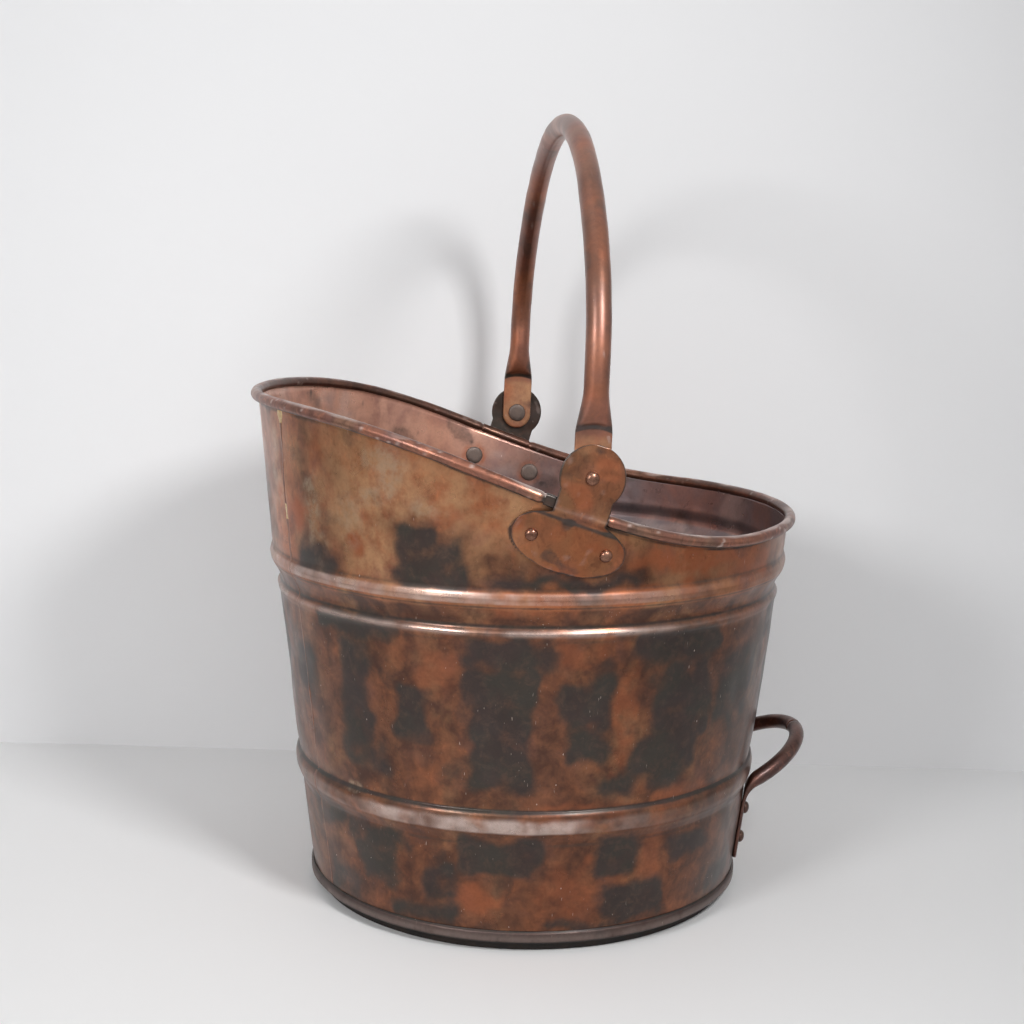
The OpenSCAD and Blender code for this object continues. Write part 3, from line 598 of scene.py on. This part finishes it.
body = grid("body_wall", shell, attrs=looks, mats=[m_wall])
dress(body, "bucket", "copper_body", "body_shell")


# ---- the rolled edge
def rim_frames(a):
    """The rim's points, and at each the two directions that stand square on it, outward and upward."""
    def at(b):
        z = rim_height(b)
        return polar(b, plain_r(z) + ROLL_OFF, z)

    step = 0.004
    d = at(a + step) - at(a - step)
    d /= np.linalg.norm(d, axis=-1, keepdims=True)
    rad = polar(a, 1.0, 0 * a)
    out = rad - d * (rad * d).sum(-1, keepdims=True)
    out /= np.linalg.norm(out, axis=-1, keepdims=True)
    return at(a), out, np.cross(out, d)


SEAT_R = float(plain_r(rim_z(0.0))) + ROLL_OFF
CUT_FRONT, CUT_REAR = -14.5, 22.5  # where the roll is cut back for the ears, along X
front, rear = 270 + math.asin(CUT_FRONT / SEAT_R) / DEG, 270 + math.asin(CUT_REAR / SEAT_R) / DEG
edges = [front, rear, 360 - front, 360 - rear]
steps = [-1.0, -0.8, -0.45, -0.3, -0.12, -0.04, 0.04, 0.12, 0.3, 0.45, 0.8, 1.0]
ra = np.unique(np.concatenate([np.arange(0, 360, 0.6)] + [[e + k for k in steps] for e in edges]))
rp, ro, ru = rim_frames(ra * DEG)
tt = np.linspace(0, 2 * np.pi, 28, endpoint=False)
behind = ((ra > front) & (ra < rear)) | ((ra > 360 - rear) & (ra < 360 - front))
dist = np.min(np.abs(ra[:, None] - np.array(edges)[None]), 1)
rad = ROLL_R * (1 + 0.012 * field(rp, 30, 41) + 0.006 * field(rp, 9, 42))
rad = rad * np.where(behind, 1, 1 - 0.22 * (1 - smooth(dist, 0, 1.1)))
limit = np.where(behind, WIRE_D / 2 + CLEAR, ROLL_R * 1.2)
u = np.minimum(rad[:, None] * np.cos(tt)[None], limit[:, None])
v = rad[:, None] * np.sin(tt)[None]
roll = rp[:, None] + ro[:, None] * u[..., None] + ru[:, None] * v[..., None]
upward = np.sin(tt)[None]
# painted highlight along the roll's top, with small pale chips of wear
rim_highlight_and_wear = smooth(upward + 0.15 * field(roll, 26, 43), 0.72, 0.98)
rim_highlight_and_wear = rim_highlight_and_wear * np.clip(0.45 + 0.4 * field(roll, 34, 45), 0.05, 1)
rim_highlight_and_wear = np.maximum(rim_highlight_and_wear, 0.8 * blotch(roll, 5, 46, 1.9, 2.4)) * (1 - behind[:, None])
# patina blotches, painted shade on the roll's underside and, heavier on the near side, at the cut ends and on
# the flattened part under the ears
rim_patina_and_shade = np.clip(0.4 * blotch(roll, 30, 44, 0.2, 1.6) + 0.7 * (upward < -0.75), 0, 1)
near_side = np.where(ra > 180, 0.9, 0.3)
rim_patina_and_shade = np.maximum(rim_patina_and_shade, (near_side * np.maximum(behind, 1 - smooth(dist, 0.1, 0.9)))[:, None])
# painted shade on the roll's inward face
inward = smooth(-np.cos(tt)[None] + 0.25 * field(roll, 30, 47), -0.3, 0.7)
rim = grid("rolled_edge", roll, mats=[m_rim], attrs={
    "rub_and_highlight": rim_highlight_and_wear * (1 - 0.5 * inward), "patina_and_shade": np.maximum(rim_patina_and_shade, 0.38 * inward), "halo_and_shade": 0.9 * inward})
dress(rim, "bucket", "copper_body", "rim_roll")
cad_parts["rim_wire"].data.materials.clear()
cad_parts["rim_wire"].data.materials.append(m_iron)


# ---- turned pieces
def lathe(name, profile, mats, slot, node, rough, seed, attrs=None):
    """A turned piece from (radius, height) points, with slow waves of that size in mm."""
    steps = 360
    a = np.arange(steps) * 2 * np.pi / steps
    prof = np.asarray(profile, float)
    pts = polar(np.repeat(a[:, None], len(prof), 1), prof[None, :, 0], prof[None, :, 1] + 0 * a[:, None])
    pts[..., :2] *= (1 + rough * field(pts, 45, seed) / 150)[..., None]
    made = {k: np.repeat(np.asarray(w, float)[None], steps, 0) for k, w in (attrs or {}).items()}
    return dress(grid(name, pts, attrs=made, mats=mats), "bucket", slot, node)


def pr(z):
    return float(plain_r(z))


band = [[pr(7.5), 7.5], [151.3, 7.5], [151.8, 7.9], [152.0, 8.8], [152.05, 10.5], [152.05, 12.0],
        [151.9, 13.2], [151.5, 14.0], [151.1, 14.3], [pr(15) + 0.45, 14.9], [pr(15) + 0.2, 15.2],
        [pr(15), 15.0], [pr(11), 11]]
# a painted highlight along the band's middle, painted shade along its lower and upper edges
lathe("foot_ring", band, [m_band], "copper_dark", "foot_band", rough=0.12, seed=51,
      attrs={"rub_and_highlight": [0, 0, .1, .3, .3, .2, .1, .1, 0, 0, 0, 0, 0],
             "patina_and_shade": [1, .8, .4, .1, 0, 0, .1, .3, .7, .9, .9, 0, 0]})
in_low, in_high = pr(FOOT_Z) - SHEET, pr(FOOT_TOP + 3) - SHEET
tray = in_low - 3.6
pan = [[0.01, 0], [tray - 0.8, 0], [tray - 0.2, 0.25], [tray, 0.9], [tray, 5.3], [tray + 0.3, 5.5],
       [in_low - 0.3, 5.5], [in_low, 5.9], [in_low, 7.5], [in_high, 18], [in_high - 0.4, 18.2],
       [in_high - 1.1, 18.2], [in_high - 1.5, 17.8], [in_low - 1.5, 7.4], [in_low - 2, 7.0],
       [tray - 1.2, 7.0], [tray - 1.5, 6.6], [tray - 1.5, 2.2], [tray - 2.2, 1.5], [0.01, 1.5]]
lathe("bottom_pan", pan, [m_iron], "black_iron", "base_pan", rough=0.1, seed=52)


# ---- ears
def ear(name, side, node, slot):
    """An ear, drawn flat (u across, v up from the tab's middle), laid on the wall and bent at its neck."""
    up = (PIVOT[2] - TAB_Z) / math.cos(EAR_TURN)
    bend_from, bend_to, edge_r = 12.2, 20.6, 0.7
    vs = np.unique(np.concatenate([
        -TAB_H * np.cos(np.linspace(0, np.pi / 2, 16)), np.linspace(0, 12, 9), np.linspace(12, 21, 16),
        np.linspace(21, up - 10.85, 8), up + DISC_R * np.sin(np.linspace(-0.573, np.pi / 2, 30))]))
    disc = np.sqrt(np.maximum(0, DISC_R**2 - (vs - up) ** 2))
    neck = np.where((vs > 0) & (vs < up), NECK_W, 0)

    def tab(power):
        return TAB_W * np.maximum(0, 1 - np.abs(vs / TAB_H) ** power) ** (1 / power)

    def half(tab_w):
        """The half width at each height, with the tab's corner to the neck rounded."""
        top_w = np.maximum(neck, disc)
        k, near_neck = 1.6, 17
        blend = np.log(np.exp((tab_w - near_neck) / k) + np.exp((top_w - near_neck) / k)) * k + near_neck
        blend = np.minimum(blend, np.maximum(tab_w, top_w) + 1.1)
        return np.where(vs < 2, tab_w, np.where(vs > 30, top_w, blend))

    hl, hr = half(np.where(vs > 0, tab(2.45), tab(2.05))), half(tab(2.05))
    s = np.linspace(-1, 1, 44)
    q = np.linspace(0, np.pi / 2, 6)[1:]
    # section: the outer face, round the edge, back along the inner face, round the other edge
    uu, ww = [], []
    for v0, a, b in zip(vs, -hl, hr):
        thick = EAR_T * rounded(min(v0 + TAB_H, up + DISC_R - v0), 0.9)
        lo, hi = EAR_T / 2 - thick / 2, EAR_T / 2 + thick / 2
        rr = min(edge_r, thick / 2)
        rl, rh = min(rr, max(-a, 1e-3)), min(rr, max(b, 1e-3))
        inner_u = a + rl + (b - rh - a - rl) * (s + 1) / 2
        right = [(b - rh + rh * math.sin(x), hi - rr + rr * math.cos(x)) for x in q]
        right += [(b - rh + rh * math.cos(x), lo + rr - rr * math.sin(x)) for x in q]
        left = [(a + rl - rl * math.sin(x), lo + rr - rr * math.cos(x)) for x in q]
        left += [(a + rl - rl * math.cos(x), hi - rr + rr * math.sin(x)) for x in q]
        uu.append(np.concatenate([inner_u, [p[0] for p in right], inner_u[::-1], [p[0] for p in left]]))
        ww.append(np.concatenate([hi + 0 * s, [p[1] for p in right], lo + 0 * s, [p[1] for p in left]]))
    U, W = np.array(uu), np.array(ww)
    V = np.repeat(vs[:, None], U.shape[1], 1)
    x = TAB_X + U * math.cos(EAR_TURN) + V * math.sin(EAR_TURN)
    z = TAB_Z - U * math.sin(EAR_TURN) + V * math.cos(EAR_TURN)
    wall_z = TAB_Z - U * math.sin(EAR_TURN) + np.minimum(V, 13) * math.cos(EAR_TURN)
    on_wall_y = np.sqrt((plain_r(wall_z) + 0.05 + W) ** 2 - x**2)
    bent = smooth(V, bend_from, bend_to)
    P = np.stack([x, side * (on_wall_y * (1 - bent) + (PLATE_Y + W) * bent), z], -1)
    dent = 0.1 * field(P, 22, 61 + side) + 0.04 * field(P, 8, 63 + side)
    P[..., 1] += side * dent * smooth(V, 20, 30)
    gap_u = np.minimum(U + hl[:, None], hr[:, None] - U)
    rim_gap = np.minimum(gap_u, np.minimum(V + TAB_H, up + DISC_R - V) * 2)
    dirt_and_shade = 0.75 * peak(rim_gap, 0, 1.3) + 0.55 * blotch(P, 16, 65 + side, 0.9, 2.2)
    # painted shadow along the foot of the neck's fold
    dirt_and_shade += 0.8 * peak(V - 13.2 + 0.05 * U, 0, 1.6) * (W > 1)
    dirt_and_shade = np.maximum(dirt_and_shade, 0.85 * (W < 0.3))
    # a painted highlight along the top of the fold, and rubbed spots
    fold_highlight_and_rub = 0.22 * peak(V, 19.8, 1.2) * (W > 1) + 0.2 * blotch(P, 9, 67 + side, 1.7, 2.4)
    ob = grid(name, P, wrap=(False, True), caps=True, mats=[m_ear], attrs={
        "patina_and_shade": np.clip(dirt_and_shade, 0, 1), "rub_and_highlight": fold_highlight_and_rub, "warm": 0.45 * blotch(P, 30, 73 + side, 0.3, 1.6),
        "halo_and_shade": 0.4 * blotch(P, 26, 69 + side, 0, 1.6) + 0.3 * smooth(V, 18, 26),
        "orange": 0.6 * blotch(P, 24, 71 + side, 0.2, 1.5) + 0.3 * (1 - smooth(V, 8, 16))})
    return dress(ob, "bucket", slot, node)


ear("ear_plate_left", -1, "ear_left", "copper_plate")
ear("ear_plate_right", 1, "ear_right", "copper_plate")


# ---- rivets
def rivet(kind, place, at, axis, size, under, grip, seed, dome_mat=m_dome):
    """A domed rivet with a flat head inside, at a point under the plate, which it holds to the wall."""
    shank, dome_d, dome_h, flat_d, flat_t = size
    ax = Vector(axis).normalized()
    e1 = ax.orthogonal().normalized()
    ax, e1, e2 = np.array(ax), np.array(e1), np.array(ax.cross(e1))
    dome_r, flat_r, back = dome_d / 2, flat_d / 2, -grip - flat_t
    prof = [(0.01, under + dome_h)]
    for k in range(1, 11):
        b = k / 10 * math.pi / 2
        prof.append((dome_r * math.sin(b) ** 0.92, under + dome_h * math.cos(b) ** 0.9))
    prof += [(dome_r - 0.15, under - 0.1), (shank / 2, under - 0.1), (shank / 2, -grip),
             (flat_r - 0.3, -grip), (flat_r, -grip - 0.35), (flat_r - 0.1, back + 0.45),
             (flat_r - 0.7, back + 0.1), (flat_r * 0.55, back), (0.01, back - 0.02)]
    prof = np.array(prof)
    steps = 40
    a = np.arange(steps) * 2 * np.pi / steps
    ph = np.random.default_rng(seed).uniform(0, 6.28, 3)
    wob = 1 + 0.02 * np.cos(2 * a + ph[0]) + 0.012 * np.cos(3 * a + ph[1])
    pts = np.zeros((steps, len(prof), 3))
    for i in range(steps):
        rr = prof[:, 0] * np.where(prof[:, 0] > shank / 2 + 0.05, wob[i], 1)
        across = e1 * math.cos(a[i]) + e2 * math.sin(a[i])
        pts[i] = np.array(at) + np.outer(prof[:, 1], ax) + np.outer(rr, across)
    flat = (0.5 * (prof[:-1, 1] + prof[1:, 1]) < -grip + 0.2).astype(int)
    flat = np.repeat(flat[None], steps, 0)
    ob = grid(f"rivet_{kind}_{place}", pts, wrap=(True, False), mats=[dome_mat, m_flat], face_mat=flat)
    return dress(ob, "bucket", "rivet_copper", f"{kind}_rivet_{place}")


def wall_spot(angle, z):
    """The point of the plain wall there, and the direction that stands square on it."""
    lean = math.atan((pr(z + 1) - pr(z - 1)) / 2)
    c, s = math.cos(angle), math.sin(angle)
    return (pr(z) * c, pr(z) * s, z), (c * math.cos(lean), s * math.cos(lean), -math.sin(lean))


for side, side_name in ((-1, "left"), (1, "right")):
    for along, end in ((-1, "front"), (1, "rear")):
        x, z = ear_rivet_xz(along)
        at, ax = wall_spot(side * math.acos(x / pr(z)), z)
        rivet("ear", f"{side_name}_{end}", at, ax, EAR_RIVET, EAR_T, SHEET, 70 + side + 3 * along)
    rivet("pivot", side_name, (PIVOT[0], side * PLATE_Y, PIVOT[2]), (0, side, 0), PIVOT_RIVET, EAR_T,
          BAIL_T + 2 * GAP, 80 + side)
    for z, level in ((59, "upper"), (38, "lower")):
        at, ax = wall_spot(side * math.asin(GRIP_Y / pr(z)), z)
        rivet("grip", f"{side_name}_{level}", at, ax, GRIP_RIVET, GRIP_T, SHEET, 90 + side + z, m_dull)


# ---- bail
BAIL_Y, BAIL_RISE, ARM_Z, SHOULDER_R, TUBE_R = 184.5, 214.5, 65.0, 110.0, 7.6
END_W, END_Z, STEP_Z, STEP_ARC = 11.0, -1.4, 27.5, 2.4  # the flat ends, with z from the pivot
BORE_R, BAIL_LEAN = 3.05, 1.7 * DEG


def ring(power, count):
    """A section as (across, outward), starting at the inner side, where the tube's seam lies."""
    return superellipse(power, count, np.pi / 2 + np.pi)


def bail_sections(count):
    """Each section's y, z, direction, half width, half thickness (or one a point) and power."""
    arch = BAIL_RISE - ARM_Z
    crown_r = ((BAIL_Y - SHOULDER_R) ** 2 + arch**2 - SHOULDER_R**2) / (2 * (arch - SHOULDER_R))
    half = math.atan2(BAIL_Y - SHOULDER_R, crown_r - arch)
    vs = np.unique(np.concatenate([
        END_Z - END_W * np.cos(np.linspace(0, np.pi / 2, 14)), np.linspace(END_Z, 24, 14),
        np.linspace(24, 36, 25), np.linspace(36, 65, 20)]))
    arm = []
    for v0 in vs:
        a = END_W if v0 > END_Z else math.sqrt(max(0, END_W**2 - (v0 - END_Z) ** 2))
        w = float(smooth(v0, 25, 53))
        a = max(a, 0.02) * (1 - w) + TUBE_R * w
        power = float(curve_through(v0, [-13, 26, 30, 36, 60], [7, 7, 3.2, 2.3, 2.0]))
        arc = STEP_ARC * (1 - ring(power, count)[0] ** 2)
        b = curve_through(v0 - arc, [-13, 26.5, 28.5, 31.5, 36, 44, 54, 60],
                          [1.8, 1.8, 2.6, 5.2, 6.4, 7.2, TUBE_R, TUBE_R])
        b = np.maximum(b * rounded(v0 - (END_Z - END_W), 1.0), 0.02)
        arm.append((TAB_Y + (BAIL_Y - TAB_Y) * float(smooth(v0, 24, 50)), v0, a, b, power))
    st = [(-y, v0, np.pi, a, b, p) for y, v0, a, b, p in arm]
    tube = (TUBE_R, TUBE_R, 2)
    mid_y = BAIL_Y - SHOULDER_R  # the middle of each shoulder's arc
    for k in range(1, 26):
        t = np.pi - (np.pi / 2 - half) * k / 25
        st.append((SHOULDER_R * math.cos(t) - mid_y, ARM_Z + SHOULDER_R * math.sin(t), t, *tube))
    for k in range(1, 80):
        t = np.pi / 2 + half * (1 - k / 40)
        st.append((crown_r * math.cos(t), BAIL_RISE - crown_r + crown_r * math.sin(t), t, *tube))
    for k in range(0, 25):
        t = (np.pi / 2 - half) * (1 - k / 25)
        st.append((SHOULDER_R * math.cos(t) + mid_y, ARM_Z + SHOULDER_R * math.sin(t), t, *tube))
    return st + [(y, v0, 0.0, a, b, p) for y, v0, a, b, p in arm[::-1]]


def drill(ob, at, radius):
    """Cut a bore along Y through the object."""
    me = bpy.data.meshes.new("bore")
    bm = bmesh.new()
    bmesh.ops.create_cone(bm, cap_ends=True, segments=48, radius1=radius * MM, radius2=radius * MM, depth=0.5)
    bm.transform(Matrix.Translation(Vector(at) * MM) @ Matrix.Rotation(math.pi / 2, 4, "X"))
    bm.to_mesh(me)
    bm.free()
    cutter = new_object("bore", me)
    mod = ob.modifiers.new("bore", "BOOLEAN")
    mod.operation, mod.object, mod.solver = "DIFFERENCE", cutter, "EXACT"
    cut = bpy.data.meshes.new_from_object(ob.evaluated_get(bpy.context.evaluated_depsgraph_get()))
    ob.modifiers.clear()
    ob.data = cut
    bpy.data.objects.remove(cutter)


def bail():
    count = 56
    st = bail_sections(count)
    pts = np.zeros((len(st), count, 3))
    for i, (y, z, t, a, b, p) in enumerate(st):
        c, s = ring(p, count)
        k = np.ones(count)
        k[0] = 1 - 0.04 * float(smooth(np.mean(b), 6.9, 7.5))
        pts[i, :, 0] = a * c * k
        pts[i, :, 1] = y + b * s * k * math.cos(t)
        pts[i, :, 2] = z + b * s * k * math.sin(t)
    bend = 0.10 * field(pts, 60, 101) + 0.05 * field(pts, 18, 102)
    grow = np.array([smooth(np.mean(q[4]), 3, 7.5) for q in st])[:, None]
    centre = pts.mean(1, keepdims=True)
    pts = centre + (pts - centre) * (1 + (bend * grow / TUBE_R)[..., None])
    x, z = pts[..., 0].copy(), pts[..., 2].copy()
    pts[..., 0] = PIVOT[0] + x * math.cos(BAIL_LEAN) + z * math.sin(BAIL_LEAN)
    pts[..., 2] = PIVOT[2] - x * math.sin(BAIL_LEAN) + z * math.cos(BAIL_LEAN)
    level = np.array([q[1] if abs(abs(q[0]) - TAB_Y) < 3 else 90.0 for q in st])[:, None] + 0 * x
    across = np.array([ring(q[5], count)[0] for q in st])
    past = level - STEP_Z - STEP_ARC * (1 - across**2)
    # painted shadow along the step down from the round tube to the flat end, and darker flanks just above it
    dirt_and_shade = 0.9 * peak(past, 0, np.where(past < 0, 1.3, 2.4))
    dirt_and_shade += 0.5 * smooth(past, -1, 1) * (1 - smooth(past, 4, 26)) * smooth(np.abs(across), 0.45, 0.95)
    ob = grid("bail_tube", pts, wrap=(False, True), caps=True, mats=[m_bail], attrs={
        "warm": 0.7 * (1 - smooth(level, 22, 27)), "orange": 0.5 * blotch(pts, 34, 105, 0.4, 1.6),
        "patina_and_shade": np.clip(dirt_and_shade + 0.45 * blotch(pts, 26, 103, 0.8, 2.0), 0, 1),
        "halo_and_shade": 0.6 * blotch(pts, 40, 104, -0.2, 1.4), "rub_and_highlight": 0.35 * blotch(pts, 5, 106, 2.3, 2.8)})
    drill(ob, PIVOT, BORE_R)
    return dress(ob, "bail", "copper_tube", "bail_arch", "bail_end_left", "bail_end_right")


bail()


# ---- back handle
def back_handle():
    tilt, loop_r, loop_x, loop_z, rod = 29 * DEG, 50.0, 154.5, 77.5, 5.25
    strip_w, strip_t, round_z, strip_top = 7.0, GRIP_T / 2, 29, 62  # half sizes, and the straight part

    def on_strip(angle, z):
        return np.array([(pr(z) + strip_t) * math.cos(angle), (pr(z) + strip_t) * math.sin(angle), z])

    st = []  # centre, width axis, half width, half thickness, power
    zs = np.unique(np.concatenate([
        round_z - strip_w * np.cos(np.linspace(0, np.pi / 2, 10)), np.linspace(round_z, strip_top, 14)]))
    for z in zs:
        ph = math.asin(GRIP_Y / pr(z))
        a = strip_w if z > round_z else max(0.05, math.sqrt(max(0, strip_w**2 - (round_z - z) ** 2)))
        b = strip_t * rounded(z - (round_z - strip_w), 0.8) + 0.01
        st.append((on_strip(ph, z), np.array([-math.sin(ph), math.cos(ph), 0]), a, b, 6.0))
    p0, w0 = st[-1][0], st[-1][1]
    p1 = on_strip(math.asin(GRIP_Y / pr(strip_top)), strip_top + 2)
    t0 = (p1 - p0) / np.linalg.norm(p1 - p0)
    ex = np.array([math.cos(tilt), 0, math.sin(tilt)])
    ey = np.array([0, 1.0, 0])

    def loop(th):
        return np.array([loop_x, 0, loop_z]) + loop_r * (math.sin(th) * ex + math.cos(th) * ey)

    # from the strip to the loop, while the flat section goes over into the round rod
    th0, reach = 13 * DEG, 15
    q, tq = loop(th0), math.cos(th0) * ex - math.sin(th0) * ey
    for k in range(1, 17):
        s = k / 17
        c = (1 - s) ** 3 * p0 + 3 * s * (1 - s) ** 2 * (p0 + t0 * reach)
        c = c + 3 * s * s * (1 - s) * (q - tq * reach * 0.62) + s**3 * q
        w = w0 * (1 - s) + np.array([-0.1, 1.0, 0]) * s
        m = float(smooth(s, 0.02, 0.95))
        b = strip_t + (rod - strip_t) * float(smooth(s, 0.05, 0.85))
        power = 6 - 4 * float(smooth(s, 0, 0.7))
        st.append((c, w / np.linalg.norm(w), strip_w * (1 - m) + rod * m, b, power))
    for th in np.linspace(th0, np.pi / 2, 30):
        st.append((loop(th), np.array([0, math.cos(th), 0]) + math.sin(th) * ex, rod, rod, 2.0))
    mirror = np.array([1, -1, 1])
    full = st + [(c * mirror, w * mirror, a, b, p) for c, w, a, b, p in st[-2::-1]]
    tang = np.gradient(np.array([f[0] for f in full]), axis=0)
    tang /= np.linalg.norm(tang, axis=1)[:, None]
    count = 40
    pts = np.zeros((len(full), count, 3))
    for i, (c, w, a, b, p) in enumerate(full):
        w = w - tang[i] * (w @ tang[i])
        w = w / np.linalg.norm(w) * (1 if i < len(st) else -1)
        across, outward = superellipse(p, count, 0)
        pts[i] = c + w * (a * across)[:, None] + np.cross(w, tang[i]) * (b * outward)[:, None]
    wob = 0.06 * field(pts, 40, 111) + 0.03 * field(pts, 10, 112)
    row, flat_rows = np.arange(len(full)), 26
    rod_only = ((row > flat_rows) & (row < len(full) - flat_rows))[:, None, None]
    mid = pts.mean(1, keepdims=True)
    pts = mid + (pts - mid) * (1 + (wob / 6)[..., None] * rod_only)
    ob = grid("handle_loop", pts, wrap=(False, True), caps=True, mats=[m_grip])
    return dress(ob, "bucket", "copper_dark", "back_handle")


back_handle()


# ---- seam
def seam():
    """A thin bead of spelter, uneven, with a bright drop near the rim and bright traces below it."""
    drop_z = 338
    top_z = float(rim_height(np.array([SEAM_ANGLE * DEG]))[0]) - 1.0
    zs = np.linspace(FOOT_TOP + 0.3, top_z, 260)
    line = polar(np.full(len(zs), SEAM_ANGLE * DEG), plain_r(zs), zs)
    width = np.clip(0.9 + 0.45 * field(line, 22, 121) + 0.3 * field(line, 7, 122), 0.25, 1.9)
    width += 2.6 * peak(zs, drop_z, 6.5) + 0.3 * peak(zs, 262, 12)
    height = np.clip(0.08 + 0.08 * field(line, 15, 123), 0.02, 0.3) + 0.18 * peak(zs, drop_z, 8)
    drift = 0.9 * field(line, 70, 124)
    k = np.linspace(-1, 1, 9)
    bow = np.sqrt(np.maximum(0, 1 - k**2))
    rows = []
    for i in range(len(zs)):
        ang = SEAM_ANGLE + (drift[i] + width[i] * k) / plain_r(zs[i]) / DEG
        up = zs[i] + 0 * ang
        r0 = wall_r(ang, up, polar(ang * DEG, plain_r(up), up))
        rows.append(np.concatenate([
            polar(ang * DEG, r0 + 0.02 + height[i] * bow, up), polar(ang[::-1] * DEG, r0[::-1] - 0.3, up)]))
    P = np.array(rows)
    low = zs[:-1]
    bright = ((low > 331) | ((low > 248) & (low < 285) & (field(line, 5, 125)[:-1] > 1.4))).astype(int)
    ob = grid("seam_line", P, wrap=(False, True), caps=True, mats=[m_braze, m_brass],
              face_mat=np.repeat(bright[:, None], P.shape[1], 1))
    return dress(ob, "bucket", "spelter", "seam_braze")


seam()


# ---- stage and light
def stage_mat(name, colour, rough, one_sided=False):
    t = Tree(name)
    fill(t.shader.inputs, {"Base Color": lin(*colour), "Roughness": rough, "Specular IOR Level": 0.15})
    if one_sided:
        back = new_node(t.t, "NewGeometry").outputs["Backfacing"]
        clear = new_node(t.t, "BsdfTransparent").outputs[0]
        both = new_node(t.t, "MixShader", {0: back, 1: t.shader.outputs[0], 2: clear})
        fill(t.t.nodes["Material Output"].inputs, {"Surface": both.outputs[0]})
    return t.mat


def quad(name, corners, mat):
    me = bpy.data.meshes.new(name)
    me.from_pydata([tuple(Vector(c) * MM) for c in corners], [], [(0, 1, 2, 3)])
    me.materials.append(mat)
    ob = new_object(name, me)
    return ob


# the wall stands where the photograph shows its foot, at the left and right edges
foot_l, foot_r = on_floor(0, 742), on_floor(PHOTO_SIDE, 771)
beyond = (foot_r - foot_l).normalized() * 900
foot_l, foot_r = foot_l - beyond, foot_r + beyond
lift, wide = Vector((0, 0, 1000)), 3000
quad("floor", [(-wide, -wide, 0), (wide, -wide, 0), (wide, wide, 0), (-wide, wide, 0)],
     stage_mat("floor_paint", (245, 245, 245), 0.6))
back_wall = quad("back_wall", [foot_l, foot_r, foot_r + lift, foot_l + lift],
                 stage_mat("wall_paint", (242, 242, 243), 0.7, True))
back_wall.visible_shadow = False


def lamp(name, at, to, size, watts, spread=180):
    d = bpy.data.lights.new(name, "AREA")
    d.shape, d.size, d.size_y, d.energy, d.spread = "RECTANGLE", size[0], size[1], watts, spread * DEG
    o = new_object(name, d)
    o.location = at
    o.rotation_euler = (Vector(to) - Vector(at)).to_track_quat("-Z", "Y").to_euler()


lamp("key_left", (-1.055, -1.15, 0.85), (0, 0, 0.25), (0.4, 0.4), 4.0, 120)
lamp("key_right", (0.302, -0.81, 0.806), (-0.5, 0.2, 0.2), (0.2, 0.2), 3.2, 120)
lamp("front", (-0.6, -1.8, 1.15), (0, 0, 0.3), (2.2, 0.7), 3.6)
lamp("ceiling", (-0.5, -0.3, 2.2), (0, 0, 0.2), (1.6, 1.2), 2.4)
# the room is brighter where the camera or a reflection sees it than as a light
world = bpy.data.worlds.new("room")
world.use_nodes = True
wt = world.node_tree
room = wt.nodes["Background"]
fill(room.inputs, {"Color": (0.80, 0.81, 0.83, 1), "Strength": 0.25})
seen = new_node(wt, "Background", {"Color": (0.80, 0.81, 0.82, 1), "Strength": 0.9})
path = new_node(wt, "LightPath").outputs
either = new_node(wt, "Math", {0: path["Is Camera Ray"], 1: path["Is Glossy Ray"]})
either.operation = "MAXIMUM"
both = new_node(wt, "MixShader", {0: either.outputs[0], 1: room.outputs[0], 2: seen.outputs[0]})
fill(wt.nodes["World Output"].inputs, {"Surface": both.outputs[0]})
bpy.context.scene.world = world
bpy.context.scene.view_settings.view_transform = "Standard"
